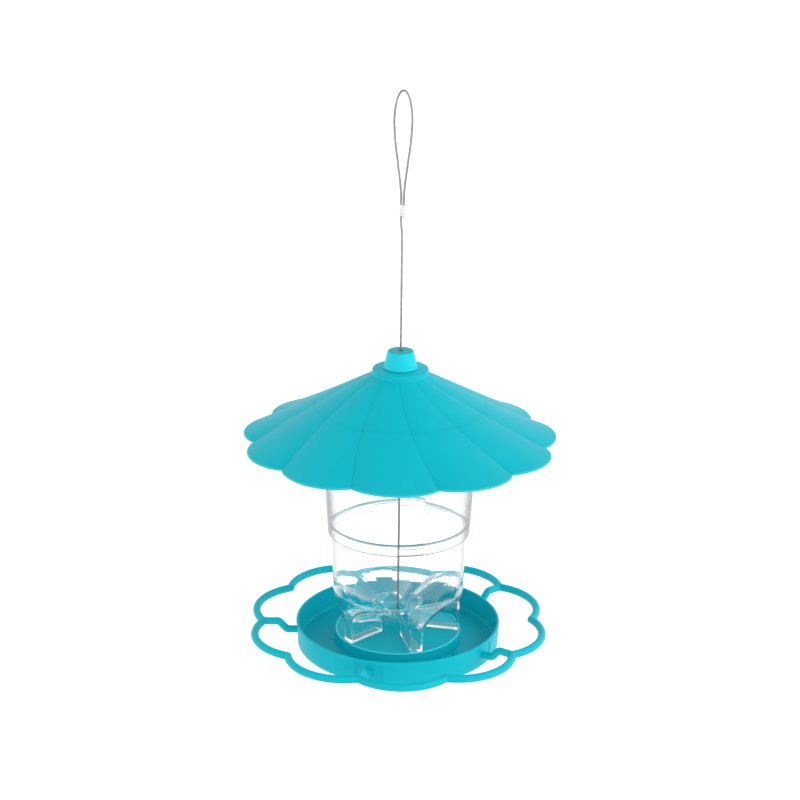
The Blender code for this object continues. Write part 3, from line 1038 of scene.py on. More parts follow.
class GeometryKit:
    """Geometry trees for what follows a rule or a path."""

    def __init__(self) -> None:
        """Build each tree once."""
        self.perch_frame = self._perch_frame()
        self.petal_shell = self._petal_shell()
        self.twisted_rope = self._twisted_rope()

    def _start(self, name: str, counts: str, sizes: Iterable[str], source: bool) -> tuple[
            Wiring, dict[str, Value], bpy.types.Node]:
        """Start a geometry tree.

        Args:
            name: Name of the tree.
            counts: Name of its one whole number.
            sizes: Names of its sizes.
            source: It works on geometry that it is given.

        Returns:
            The tree's wiring, the values of its inputs by name, and its output node.
        """
        given = {"Geometry": Socket.GEOMETRY} if source else {}
        return new_tree(name, "GeometryNodeTree", {
            **given, counts: Socket.COUNT, **dict.fromkeys(sizes, Socket.FLOAT),
            "Material": Socket.MATERIAL,
        }, {"Geometry": Socket.GEOMETRY})

    def _finish(
        self, wiring: Wiring, put: dict[str, Value], leave: bpy.types.Node, solid: Value
    ) -> bpy.types.NodeTree:
        """End a tree in realised, smooth geometry with its material.

        Args:
            wiring: The tree's wiring.
            put: Its inputs, by name.
            leave: Its output node.
            solid: Geometry to finish.

        Returns:
            The tree.
        """
        plain = wiring.value("GeometryNodeRealizeInstances", {"Geometry": solid})
        smooth = wiring.value("GeometryNodeSetShadeSmooth", {"Geometry": plain})
        wiring.feed(leave, {"Geometry": wiring.value("GeometryNodeSetMaterial", {
            "Geometry": smooth, "Material": put["Material"],
        })})
        return wiring.tree

    def _swept(self, wiring: Wiring, curve: Value, radius: Value, sides: int) -> Value:
        """Sweep a circle along a curve and fill its ends.

        Args:
            wiring: The tree's wiring.
            curve: The curve.
            radius: The circle's radius.
            sides: Sides of the circle.

        Returns:
            The swept mesh.
        """
        circle = wiring.value("GeometryNodeCurvePrimitiveCircle", {
            "Resolution": sides, "Radius": radius,
        })
        return wiring.value("GeometryNodeCurveToMesh", {
            "Curve": curve, "Profile Curve": circle, "Fill Caps": True,
        })

    def _moved(self, wiring: Wiring, shape: Value, *place: Any) -> Value:
        """Move a shape by three distances."""
        wires = {"Geometry": shape, "Translation": wiring.vector(*place)}
        return wiring.value("GeometryNodeTransform", wires)

    def _joined(self, wiring: Wiring, *shapes: Value) -> Value:
        """Join shapes in turn.

        Args:
            wiring: The tree's wiring.
            *shapes: The shapes.

        Returns:
            The joined geometry.
        """
        joined = wiring.add("GeometryNodeJoinGeometry")
        for shape in shapes:
            wiring.feed(joined, {0: shape})
        return wiring.read(joined)

    def _ring_of(self, wiring: Wiring, shape: Value, count: Value, bearing: Value) -> Value:
        """Repeat a shape round the rope's axis.

        Args:
            wiring: The tree's wiring.
            shape: Geometry drawn at bearing zero.
            count: How many.
            bearing: Bearing of each copy, in radians.

        Returns:
            The repeated geometry, realised.
        """
        turn = wiring.vector(0.0, 0.0, bearing)
        copies = wiring.value("GeometryNodeInstanceOnPoints", {
            "Points": wiring.value("GeometryNodePoints", {"Count": count}), "Instance": shape,
            "Rotation": wiring.value("FunctionNodeEulerToRotation", {0: turn}),
        })
        return wiring.value("GeometryNodeRealizeInstances", {"Geometry": copies})

    def _perch_frame(self) -> bpy.types.NodeTree:
        """Build the petal-shaped perch bar and the cranked spokes that carry it.

        Returns:
            The tree.
        """
        wiring, put, leave = self._start("Perch Frame", "Petals", (
            "Joint Radius", "Outer Radius", "Bar Diameter", "Spoke Diameter", "Ring Height",
            "Spoke Drop", "Spoke Root", "Crank Start", "Crank End", "Phase", "Hang Height",
        ), source=False)
        joint, height, petals = put["Joint Radius"], put["Ring Height"], put["Petals"]
        bar_radius = put["Bar Diameter"] / 2.0
        pitch = math.tau / petals
        half = pitch / 2.0
        chord = joint * wiring.math("COSINE", half)
        reach = joint * wiring.math("SINE", half)
        middle = put["Outer Radius"] - bar_radius
        rise = middle - chord
        bow = (reach * reach + rise * rise) / (rise * 2.0)
        spread = wiring.math("ARCSINE", reach / bow)
        arc = wiring.value("GeometryNodeCurveArc", {
            "Resolution": 26, "Radius": bow, "Start Angle": spread * -1.0,
            "Sweep Angle": spread * 2.0,
        }, mode="RADIUS")
        petal = self._moved(wiring, arc, middle - bow, 0.0, height)
        index = wiring.value("GeometryNodeInputIndex")
        joint_bearing = put["Phase"] + index * pitch
        bar = self._ring_of(wiring, petal, petals, joint_bearing + half)
        bar_mesh = self._swept(wiring, bar, bar_radius, sides=22)
        knuckle = wiring.value("GeometryNodeMeshUVSphere", {
            "Segments": 22, "Rings": 14, "Radius": bar_radius,
        })
        at_joint = self._moved(wiring, knuckle, joint, 0.0, height)
        knuckles = self._ring_of(wiring, at_joint, petals, joint_bearing)

        low = height - put["Spoke Drop"]
        line = wiring.value("GeometryNodeCurvePrimitiveLine", {
            "Start": wiring.vector(put["Spoke Root"], 0.0, low),
            "End": wiring.vector(joint, 0.0, low),
        })
        fine = wiring.value("GeometryNodeResampleCurve", {"Curve": line, "Count": 48})
        across = wiring.parts(wiring.value("GeometryNodeInputPosition"))[0]
        lift = wiring.remap(across, put["Crank Start"], put["Crank End"], 0.0, put["Spoke Drop"])
        cranked = wiring.value("GeometryNodeSetPosition", {
            "Geometry": fine, "Offset": wiring.vector(0.0, 0.0, lift),
        })
        spoke_bearing = put["Phase"] + index * (pitch * 2.0)
        spokes = self._ring_of(wiring, cranked, petals / 2.0, spoke_bearing)
        spoke_mesh = self._swept(wiring, spokes, put["Spoke Diameter"] / 2.0, sides=20)
        joined = self._joined(wiring, bar_mesh, knuckles, spoke_mesh)
        hung = self._moved(wiring, joined, 0.0, 0.0, put["Hang Height"] * -1.0)
        return self._finish(wiring, put, leave, hung)

    def _petal_shell(self) -> bpy.types.NodeTree:
        """Build the tree that bends a lattice into the swirled, crowned roof.

        Returns:
            The tree.
        """
        wiring, put, leave = self._start("Petal Shell", "Petals", (
            "Valley Radius", "Petal Radius", "Disc Radius", "Eave Height", "Slope",
            "Crown Body Share", "Crown Edge Power", "Swirl", "Inner Swirl", "Phase",
            "Scallop Power", "Inset", "Drop", "Cap Height", "Foot Height", "Hang Height",
        ), source=True)
        around, along, zone, pull, sink, spread = (
            wiring.value(
                "GeometryNodeInputNamedAttribute", {"Name": label}, "Attribute",
                data_type="FLOAT",
            )
            for label in LATTICE
        )
        off = wiring.math("FRACT", around) * 2.0 - 1.0
        swell = wiring.math("MAXIMUM", 1.0 - off * off, 0.0)
        scallop = wiring.math("POWER", swell, put["Scallop Power"])
        beyond = (put["Petal Radius"] - put["Valley Radius"]) * scallop
        eave = put["Valley Radius"] + beyond
        start = put["Disc Radius"] - put["Inset"]
        run = (eave - put["Inset"] - start) * along
        radius = (start + run - pull) * spread
        cone = put["Eave Height"] + (put["Valley Radius"] - radius) * put["Slope"]
        out = radius / eave
        body = put["Crown Body Share"] * out
        brim = (1.0 - put["Crown Body Share"]) * (
            wiring.math("POWER", out, put["Crown Edge Power"])
        )
        crown = beyond * put["Slope"] * (body + brim)
        skin = cone + crown - put["Drop"]
        is_skin, is_cap, is_foot = (
            wiring.math("COMPARE", zone, kind.value, 0.1)
            for kind in (Zone.SKIN, Zone.CAP, Zone.FOOT)
        )
        level = is_skin * skin + is_cap * put["Cap Height"] + is_foot * put["Foot Height"]
        step = math.tau / put["Petals"]
        bearing = put["Phase"] - swirl_lag(put, radius) + around * step
        spot = wiring.vector(
            radius * wiring.math("COSINE", bearing), radius * wiring.math("SINE", bearing),
            level - sink - put["Hang Height"],
        )
        bent = wiring.value("GeometryNodeSetPosition", {
            "Geometry": put["Geometry"], "Position": spot,
        })
        return self._finish(wiring, put, leave, bent)

    def _twisted_rope(self) -> bpy.types.NodeTree:
        """Build the tree that lays strands round a core along a route.

        Returns:
            The tree.
        """
        sides = 8
        wiring, put, leave = self._start("Twisted Rope", "Strands", (
            "Rope Diameter", "Strand Share", "Lay Length", "Step Length",
        ), source=True)
        route = wiring.value("GeometryNodeMeshToCurve", {"Mesh": put["Geometry"]})
        fine = wiring.value("GeometryNodeResampleCurve", {
            "Curve": route, "Length": put["Step Length"],
        }, mode="LENGTH")
        copies = wiring.add("GeometryNodeDuplicateElements", {
            "Geometry": fine, "Amount": put["Strands"],
        }, domain="SPLINE")
        strand = put["Rope Diameter"] * put["Strand Share"]
        strand_radius = strand / 2.0
        lay_radius = put["Rope Diameter"] / 2.0 - strand_radius
        along = wiring.value("GeometryNodeSplineParameter", output="Length")
        copy = wiring.read(copies, "Duplicate Index")
        angle = (along / put["Lay Length"] + copy / put["Strands"]) * math.tau
        normal = wiring.value("GeometryNodeInputNormal")
        tangent = wiring.value("GeometryNodeInputTangent")
        side = wiring.vector_math("CROSS_PRODUCT", tangent, normal)
        ahead, aside = (
            wiring.value("ShaderNodeVectorMath", {
                0: way, "Scale": lay_radius * wiring.math(wave, angle),
            }, operation="SCALE")
            for way, wave in ((normal, "COSINE"), (side, "SINE"))
        )
        laid = wiring.value("GeometryNodeSetPosition", {
            "Geometry": wiring.read(copies, "Geometry"),
            "Offset": wiring.vector_math("ADD", ahead, aside),
        })
        strands = self._swept(wiring, laid, strand_radius, sides)
        core = self._swept(wiring, fine, lay_radius, sides)
        proud = wiring.value("GeometryNodeProximity", {"Geometry": core}, "Distance")
        marked = wiring.value("GeometryNodeStoreNamedAttribute", {
            "Geometry": strands, "Name": "crown", "Value": proud / strand,
        }, data_type="FLOAT", domain="POINT")
        return self._finish(wiring, put, leave, self._joined(wiring, marked, core))


@dataclass
class FeedingTray:
    """Shallow tray on a hollow plateau, with its perch ring and spokes."""

    shop: Workshop
    trees: GeometryKit
    height: float = 0.0165
    wall: float = 0.0016
    floor: float = 0.0018
    rim_radius: float = 0.0663
    base_radius: float = 0.0655
    base_fillet: float = 0.0024
    wall_foot_fillet: float = 0.0020
    wall_foot_ease: float = 0.0002
    rim_round: float = 0.48
    plateau_radius: float = 0.0396
    plateau_height: float = 0.0097
    plateau_rise: float = 0.0025
    bead_width: float = 0.0011
    bead_height: float = 0.0007
    bead_round: float = 0.42
    bead_halo: float = 0.0004
    dome_radius: float = 0.0120
    dome_rise: float = 0.0018
    dome_fillet: float = 0.0016
    dome_swell: float = 0.0040
    dome_share: float = 0.25
    boss_radius: float = 0.0045
    boss_height: float = 0.0010
    boss_taper: float = 0.85
    riser_draft: float = 0.0006
    riser_fillet: float = 0.0012
    boss_fillet: float = 0.0004
    under_dome_fillet: float = 0.0010
    under_fillet: float = 0.0008
    fine_fillet: float = 0.0003
    crisp_fillet: float = 0.0002
    wire_bore: float = 0.0011
    drain_radius: float = 0.0012
    drain_inset: float = 0.0022
    drain_sides: int = 24
    ring_outer_radius: float = 0.0981
    ring_joint_radius: float = 0.0876
    ring_height: float = 0.0148
    ring_petals: int = 10
    ring_phase: float = -105.9
    bar_diameter: float = 0.0050
    spoke_diameter: float = 0.0048
    spoke_drop: float = 0.0059
    crank_middle: float = 0.442
    crank_slope: float = 1.235
    pad_width: float = 0.0175
    pad_depth: float = 0.0004
    pad_lip: float = 0.0022
    pad_steps: int = 10
    root_bite: float = 0.6
    overrun: float = 0.004

    def wall_radius(self, height: float) -> float:
        """Radius of the wall's outer face at a height."""
        return self.base_radius + (self.rim_radius - self.base_radius) / self.height * height

    def outline(self) -> list[Spot]:
        """Section of the tray with every corner rounded as moulded.

        Returns:
            Radius and height of each point in turn.
        """
        level, fine, crisp = self.plateau_height, self.fine_fillet, self.crisp_fillet
        edge, shoulder = self.plateau_radius + self.bead_width, self.height - self.wall / 2
        inner, bead_top = self.rim_radius - self.wall, level + self.bead_height
        dome = level + self.plateau_rise
        top = dome + self.dome_rise
        under, boss_top = top - self.wall, top + self.boss_height
        rim_round, bead_round = self.wall * self.rim_round, self.bead_width * self.bead_round
        return rounded([
            (self.base_radius, 0.0, self.base_fillet),
            (self.rim_radius, shoulder, 0.0),
            (self.rim_radius, self.height, rim_round),
            (inner, self.height, rim_round),
            (inner, shoulder, 0.0),
            (self.base_radius - self.wall + self.wall_foot_ease, self.floor,
             self.wall_foot_fillet),
            (edge + self.riser_draft, self.floor, self.riser_fillet),
            (edge, level, 0.0),
            (edge, bead_top, bead_round),
            (self.plateau_radius, bead_top, bead_round),
            (self.plateau_radius, level, crisp),
            (self.dome_radius, dome, self.dome_fillet),
            ((self.dome_radius + self.boss_radius) / 2, top - self.dome_rise * self.dome_share,
             self.dome_swell),
            (self.boss_radius, top, self.boss_fillet),
            (self.boss_radius * self.boss_taper, boss_top, fine),
            (self.wire_bore, boss_top, crisp),
            (self.wire_bore, under, 0.0),
            (self.boss_radius, under, fine),
            (self.dome_radius, dome - self.wall, self.under_dome_fillet),
            (self.plateau_radius - self.wall, level - self.wall, self.under_fillet),
            (edge - self.wall, level - 2 * self.wall, self.under_fillet),
            (edge + self.riser_draft - self.wall, 0.0, fine),
        ])

    def painted_bead_highlight(self) -> Band:
        """Painted highlight: a paler line along the plateau's bead.

        Returns:
            The band.
        """
        low = self.plateau_height + self.bead_halo / 2
        outer = self.plateau_radius + self.bead_width + self.bead_halo
        return Band(
            (low, low + self.bead_height), (0.100, 0.820, 0.900), 0.85,
            (self.plateau_radius - self.bead_halo, outer),
        )

    def spoke_bearings(self) -> list[float]:
        """Every other joint of the ring carries a spoke."""
        pitch = 720.0 / self.ring_petals
        return [self.ring_phase + pitch * step for step in range(self.ring_petals // 2)]

    def wall_pads(self) -> bpy.types.Object:
        """Shallow flats in the wall round each spoke's root.

        Returns:
            The cutting tool.
        """
        width = math.degrees(self.pad_width / self.rim_radius)
        low, high, beyond = (
            -self.overrun, self.height - self.pad_lip, self.rim_radius + self.overrun
        )
        return self.shop.sectors("wall_pad_tool", (
            (self.wall_radius(low) - self.pad_depth, low), (beyond, low),
            (beyond, high), (self.wall_radius(high) - self.pad_depth, high),
        ), self.spoke_bearings(), width, self.pad_steps)

    def drains(self) -> bpy.types.Object:
        """Drain holes at the foot of the plateau.

        Returns:
            The cutting tool.
        """
        builder = bmesh.new()
        radius = self.plateau_radius + self.bead_width + self.riser_draft + self.drain_inset
        for bearing in self.spoke_bearings():
            centre = polar(radius, bearing)
            self.shop.loft(builder, [
                [centre + polar(self.drain_radius, 360.0 * side / self.drain_sides, height)
                 for side in range(self.drain_sides)]
                for height in (-self.overrun, self.floor + self.wall)
            ])
        return self.shop.close("drain_tool", builder)

    def build(self, material: bpy.types.Material) -> None:
        """Mould the tray and dress it.

        Args:
            material: Its finish.
        """
        tray = self.shop.turn("tray_shell", self.outline(), segments=300)
        self.shop.fuse(tray, self.wall_pads())
        self.shop.fuse(tray, self.drains())
        self.shop.smooth(tray)
        root = self.wall_radius(self.ring_height - self.spoke_drop) - self.wall * self.root_bite
        middle = root + (self.ring_joint_radius - root) * self.crank_middle
        half_crank = self.spoke_drop * self.crank_slope / 2.0
        frame_piece = self.shop.grow("perch_frame", self.trees.perch_frame, {
            "Petals": self.ring_petals,
            "Joint Radius": self.ring_joint_radius,
            "Outer Radius": self.ring_outer_radius,
            "Bar Diameter": self.bar_diameter,
            "Spoke Diameter": self.spoke_diameter,
            "Ring Height": self.ring_height,
            "Spoke Drop": self.spoke_drop,
            "Spoke Root": root,
            "Crank Start": middle - half_crank,
            "Crank End": middle + half_crank,
            "Phase": math.radians(self.ring_phase),
            "Hang Height": STACK.hang,
            "Material": material,
        })
        piece = self.shop.gather("tray_moulding", [tray, frame_piece])
        self.shop.dress(piece, material, Body.TRAY, "feeding_tray", "tray_plastic")


@dataclass
class SeedCup:
    """Clear lower cup: five hollow legs and five hooded ports round a seed shaft."""

    shop: Workshop
    radius: float = 0.0432
    wall: float = 0.0014
    foot_radius: float = 0.0393
    foot_slope: float = 0.09058
    shoulder_height: float = 0.0305
    shoulder_radius: float = 0.0425
    waist_height: float = 0.0215
    waist_radius: float = 0.0407
    flange_overhang: float = 0.0009
    lip_recess: float = 0.0004
    bend_fillet: float = 0.0060
    bend_rise: float = 0.3
    foot_fillet: float = 0.0004
    edge_fillet: float = 0.0003
    flange_fillet: float = 0.0005
    hub_fillet: float = 0.0008
    floor_fillet: float = 0.0010
    ports: int = 5
    shaft_radius: float = 0.0150
    shaft_height: float = 0.0196
    port_reach: float = 0.0346
    port_widths: Spot = (0.0140, 0.0400)
    port_heights: Spot = (0.0180, 0.0255)
    port_arches: Spot = (0.0070, 0.0145)
    arch_steps: int = 14
    hood_start: float = 0.9
    port_start: float = 0.8
    notch_extra: float = 3.0
    notch_steps: int = 16
    tool_foot: float = -0.0037
    overrun: float = 0.004

    def port_section(self, reach: float, skin: float) -> list[Vector]:
        """Arched section of a port, square to its own bearing.

        Args:
            reach: Distance from the rope's axis.
            skin: How far the section is grown.

        Returns:
            The section's points.
        """
        share = (reach - self.shaft_radius) / (self.port_reach - self.shaft_radius)

        def spread(ends: Spot) -> float:
            """Read a size between its inner and outer values."""
            return ends[0] + (ends[1] - ends[0]) * share

        half = spread(self.port_widths) / 2 + skin
        arch = spread(self.port_arches)
        spring = STACK.rest + spread(self.port_heights) + skin - arch
        section = [Vector((reach, -half, self.tool_foot))]
        for step in range(2 * self.arch_steps + 1):
            swing = math.pi * (1 - step / (2 * self.arch_steps))
            section.append(Vector((
                reach, half * math.cos(swing), spring + arch * math.sin(swing)
            )))
        section.append(Vector((reach, half, self.tool_foot)))
        return section

    def port_tool(self, name: str, skin: float, start: float) -> bpy.types.Object:
        """All the ports, or the hoods over them, as one tool.

        Args:
            name: Name of the tool.
            skin: How far the ports are grown.
            start: Share of the shaft's radius at which the tool starts.

        Returns:
            The tool.
        """
        builder = bmesh.new()
        first, last = self.shaft_radius * start, self.foot_radius + 2 * self.overrun
        pitch = 360.0 / self.ports
        for port in range(self.ports):
            turn = Matrix.Rotation(math.radians(pitch * (port + 0.5)), 3, "Z")
            self.shop.loft(builder, [
                [turn @ point for point in self.port_section(reach, skin)]
                for reach in (first, last)
            ])
        return self.shop.close(name, builder)

    def cavity(self) -> bpy.types.Object:
        """Space inside the cup's wall, over the legs' floors.

        Returns:
            The cutting tool.
        """
        foot, wall = STACK.rest, self.wall
        hub, shaft_top = self.shaft_radius + wall, foot + self.shaft_height
        inner, bend = self.radius - wall, wall * self.bend_rise
        lip, above = inner + self.lip_recess, STACK.flange_top + self.overrun
        return self.shop.turn("cup_cavity_tool", rounded([
            (0.0, -self.overrun, 0.0),
            (self.shaft_radius, -self.overrun, 0.0),
            (self.shaft_radius, shaft_top, 0.0),
            (hub, shaft_top, 0.0),
            (hub, foot + wall + self.foot_slope * (self.foot_radius - hub), self.hub_fillet),
            (self.foot_radius - wall, foot + wall + self.foot_slope * wall, self.floor_fillet),
            (self.waist_radius - wall, foot + self.waist_height + bend, self.bend_fillet),
            (self.shoulder_radius - wall, foot + self.shoulder_height + bend,
             self.bend_fillet),
            (inner, STACK.flange_low, 0.0),
            (inner, STACK.flange_top - self.lip_recess, 0.0),
            (lip, STACK.flange_top, self.lip_recess / 2),
            (lip, above, 0.0),
            (0.0, above, 0.0),
        ]))

    def notches(self) -> bpy.types.Object:
        """Notches in the flange that the tube's lugs pass through.

        Returns:
            The cutting tool.
        """
        width = LUGS.degrees + self.notch_extra
        beyond = self.radius + self.flange_overhang + self.overrun
        low, high = STACK.flange_low - self.overrun, STACK.flange_top + self.overrun
        return self.shop.sectors("notch_tool", (
            (LUGS.radius, low), (beyond, low), (beyond, high), (LUGS.radius, high),
        ), LUGS.bearings(turned=width), width, self.notch_steps)

    def build(self, material: bpy.types.Material) -> None:
        """Mould the cup and dress it.

        Args:
            material: Its finish.
        """
        foot, flange = STACK.rest, self.radius + self.flange_overhang
        cup = self.shop.turn("seed_cup_moulding", rounded([
            (self.foot_radius, foot, self.foot_fillet),
            (self.waist_radius, foot + self.waist_height, self.bend_fillet),
            (self.shoulder_radius, foot + self.shoulder_height, self.bend_fillet),
            (self.radius, STACK.flange_low, self.edge_fillet),
            (flange, STACK.flange_low, self.edge_fillet),
            (flange, STACK.flange_top, self.flange_fillet),
            (0.0, STACK.flange_top, 0.0),
            (0.0, foot + self.foot_slope * self.foot_radius, 0.0),
        ]))
        cavity = self.cavity()
        self.shop.fuse(cavity, self.port_tool("hood_tool", self.wall, self.hood_start))
        self.shop.fuse(cup, cavity)
        self.shop.fuse(cup, self.port_tool("port_tool", 0.0, self.port_start))
        shaft_top = foot + self.shaft_height + self.overrun * 2
        self.shop.fuse(cup, self.shop.turn("shaft_tool", [
            (0.0, 0.0), (self.shaft_radius, 0.0), (self.shaft_radius, shaft_top),
            (0.0, shaft_top),
        ]))
        self.shop.fuse(cup, self.notches())
        self.shop.smooth(cup)
        self.shop.dress(cup, material, Body.CUP, "seed_cup", "cup_clear")


@dataclass
class UpperTube:
    """Flared clear tube that slides over the cup, with lugs inside its lower edge."""

    shop: Workshop
    inner_radius: float = 0.0446
    wall: float = 0.0014
    flare: float = 0.0044
    bead: float = 0.0007
    bead_depth: float = 0.0020
    edge_fillet: float = 0.0003
    mouth_fillet: float = 0.0006
    mouth_inner_fillet: float = 0.0005
    lug_height: float = 0.0044
    lug_setback: float = 0.0003
    lug_ease: float = 0.0002
    lug_steps: int = 14

    def lug_blocks(self) -> bpy.types.Object:
        """Lugs that catch the cup's flange.

        Returns:
            The blocks as one tool.
        """
        outer, ease = self.inner_radius + self.wall / 2, self.lug_ease
        low, high = STACK.tube_low + self.lug_setback, STACK.tube_low + self.lug_height
        return self.shop.sectors("lug_tool", (
            (LUGS.radius + ease, low), (outer, low), (outer, high), (LUGS.radius + ease, high),
            (LUGS.radius, high - ease), (LUGS.radius, low + ease),
        ), LUGS.bearings(), LUGS.degrees, self.lug_steps)

    def build(self, material: bpy.types.Material) -> None:
        """Mould the tube and dress it.

        Args:
            material: Its finish.
        """
        outer = self.inner_radius + self.wall
        mouth = outer + self.flare
        bead_low = STACK.tube_top - self.bead_depth
        length = STACK.tube_top - STACK.tube_low
        fine = self.edge_fillet
        tube = self.shop.turn("upper_tube_moulding", rounded([
            (outer, STACK.tube_low, fine),
            (outer + self.flare * (1 - self.bead_depth / length), bead_low, fine),
            (mouth + self.bead, bead_low + self.bead, fine),
            (mouth + self.bead, STACK.tube_top, self.mouth_fillet),
            (mouth - self.wall, STACK.tube_top, self.mouth_inner_fillet),
            (self.inner_radius, STACK.tube_low, fine),
        ]), segments=240)
        self.shop.fuse(tube, self.lug_blocks(), Fusing.WELD)
        self.shop.smooth(tube)
        self.shop.dress(tube, material, Body.TUBE, "upper_tube", "tube_clear")


@dataclass
class PetalRoof:
    """Swirled roof of crowned petals, with its centre disc and the socket under it."""

    shop: Workshop
    trees: GeometryKit
    petals: int = 11
    phase: float = -107.9
    valley_radius: float = 0.0925
    petal_radius: float = 0.1004
    slope_degrees: float = 29.525
    crown_body_share: float = 0.45
    crown_edge_power: float = 8.0
    swirl: float = 12.9
    inner_swirl: float = 9.5
    skin: float = 0.0016
    lip: float = 0.0009
    scallop_power: float = 0.85
    disc_radius: float = 0.0177
    disc_plate: float = 0.0030
    disc_edge: float = 0.0006
    lip_edge: float = 0.0003
    socket_inner: float = 0.0516
    socket_wall: float = 0.0018
    socket_ledge: float = 0.0020
    socket_skirt: float = 0.0060
    hole_radius: float = 0.0061
    sink_radius: float = 0.0540
    fine_fillet: float = 0.0003
    skirt_fillet: float = 0.0004
    corner_share: float = 0.29
    crease: float = 24.0
    overrun: float = 0.004
    steps: int = 26
    rings: int = 54

    def rule(self) -> dict[str, float]:
        """Sizes that say where the petals' creases run.

        Returns:
            The sizes, by the name of their input.
        """
        return {
            "Petals": self.petals,
            "Phase": math.radians(self.phase),
            "Swirl": math.radians(self.swirl),
            "Inner Swirl": math.radians(self.inner_swirl),
            "Valley Radius": self.valley_radius,
            "Disc Radius": self.disc_radius,
        }

    def lattice(self, name: str) -> bpy.types.Mesh:
        """Closed lattice whose attributes say where each vertex belongs on the roof.

        Args:
            name: Name of the mesh.

        Returns:
            The lattice.
        """
        edge, lip, soft = self.disc_edge, self.lip_edge, self.corner_share
        rows = [
            (Zone.CAP, 0.0, 0.0, 0.0, 0.0),
            (Zone.CAP, 0.0, edge, 0.0, 1.0),
            (Zone.CAP, 0.0, edge * soft, edge * soft, 1.0),
            (Zone.CAP, 0.0, 0.0, edge, 1.0),
        ]
        rows += [(Zone.SKIN, ring / self.rings, 0.0, 0.0, 1.0) for ring in range(self.rings)]
        rows += [
            (Zone.SKIN, 1.0, lip, 0.0, 1.0),
            (Zone.SKIN, 1.0, lip * soft, lip * soft, 1.0),
            (Zone.SKIN, 1.0, 0.0, lip, 1.0),
            (Zone.FOOT, 1.0, 0.0, -lip, 1.0),
            (Zone.FOOT, 1.0, lip * soft, -lip * soft, 1.0),
            (Zone.FOOT, 1.0, lip, 0.0, 1.0),
            (Zone.FOOT, 0.0, 0.0, 0.0, 0.0),
        ]
        count = self.petals * self.steps
        builder = bmesh.new()
        values: list[tuple[float, ...]] = []
        rings = []
        for zone, along, pull, sink, spread in rows:
            ring = []
            for step in range(count if spread else 1):
                ring.append(builder.verts.new((step, len(rings), 0.0)))
                values.append((step / self.steps, along, zone.value, pull, sink, spread))
            rings.append(ring)
        for low, high in zip(rings, rings[1:]):
            self.shop.bridge(builder, low, high)
        mesh = bpy.data.meshes.new(name)
        builder.to_mesh(mesh)
        builder.free()
        for column, label in enumerate(LATTICE):
            layer = mesh.attributes.new(label, "FLOAT", "POINT")
            layer.data.foreach_set("value", [row[column] for row in values])
        return mesh

    def shell(
        self, name: str, inset: float, drop: float, cap: float, foot: float,
        material: bpy.types.Material,
    ) -> bpy.types.Object:
        """The closed space under one skin of the roof.

        Args:
            name: Name of the object.
            inset: How far its edge is drawn in.
            drop: How far its skin is lowered.
            cap: Height of its top.
            foot: Height of its flat underside.
            material: Material that the tree sets.

        Returns:
            The solid.
        """
        piece = self.shop.grow(name, self.trees.petal_shell, {
            **self.rule(),
            "Petal Radius": self.petal_radius,
            "Eave Height": STACK.eave,
            "Slope": math.tan(math.radians(self.slope_degrees)),
            "Crown Body Share": self.crown_body_share,
            "Crown Edge Power": self.crown_edge_power,
            "Scallop Power": self.scallop_power,
            "Inset": inset,
            "Drop": drop,
            "Cap Height": cap,
            "Foot Height": foot,
            "Hang Height": STACK.hang,
            "Material": material,
        }, source=self.lattice(name))
        builder = bmesh.new()
        builder.from_mesh(piece.data)
        bmesh.ops.triangulate(
            builder, faces=[face for face in builder.faces if len(face.verts) > 3],
            quad_method="FIXED",
        )
        bmesh.ops.recalc_face_normals(builder, faces=builder.faces)
        builder.to_mesh(piece.data)
        builder.free()
        for label in LATTICE:
            layer = piece.data.attributes.get(label)
            if layer:
                piece.data.attributes.remove(layer)
        return piece

    def build(self, material: bpy.types.Material) -> None:
        """Mould the roof and dress it.

        Args:
            material: Its finish.
        """
        lip_low, disc_low = STACK.eave - self.lip, STACK.disc_top - self.disc_plate
        roof = self.shell("petal_roof_moulding", 0.0, 0.0, STACK.disc_top, lip_low, material)
        drop = self.skin / math.cos(math.radians(self.slope_degrees))
        hollow = self.shell(
            "roof_hollow_tool", self.skin, drop, disc_low, lip_low - self.overrun, material
        )
        ledge = self.socket_inner - self.socket_ledge
        outer = self.socket_inner + self.socket_wall
        seat = STACK.socket_seat
        socket = self.shop.turn("socket_tool", rounded([
            (ledge, seat, self.fine_fillet),
            (self.socket_inner, seat, 0.0),
            (self.socket_inner, seat - self.socket_skirt, self.skirt_fillet),
            (outer, seat - self.socket_skirt, self.skirt_fillet),
            (outer, STACK.disc_top, 0.0),
            (ledge, STACK.disc_top, 0.0),
        ]))
        self.shop.fuse(hollow, socket)
        self.shop.fuse(roof, hollow)
        low, high = disc_low - self.overrun, STACK.disc_top + self.overrun
        hole = [(0.0, low), (self.hole_radius, low), (self.hole_radius, high), (0.0, high)]
        self.shop.fuse(roof, self.shop.turn("knob_hole_tool", hole, segments=96))
        self.shop.smooth(roof, self.crease)
        self.shop.dress(roof, material, Body.ROOF, "roof_canopy", "roof_plastic")


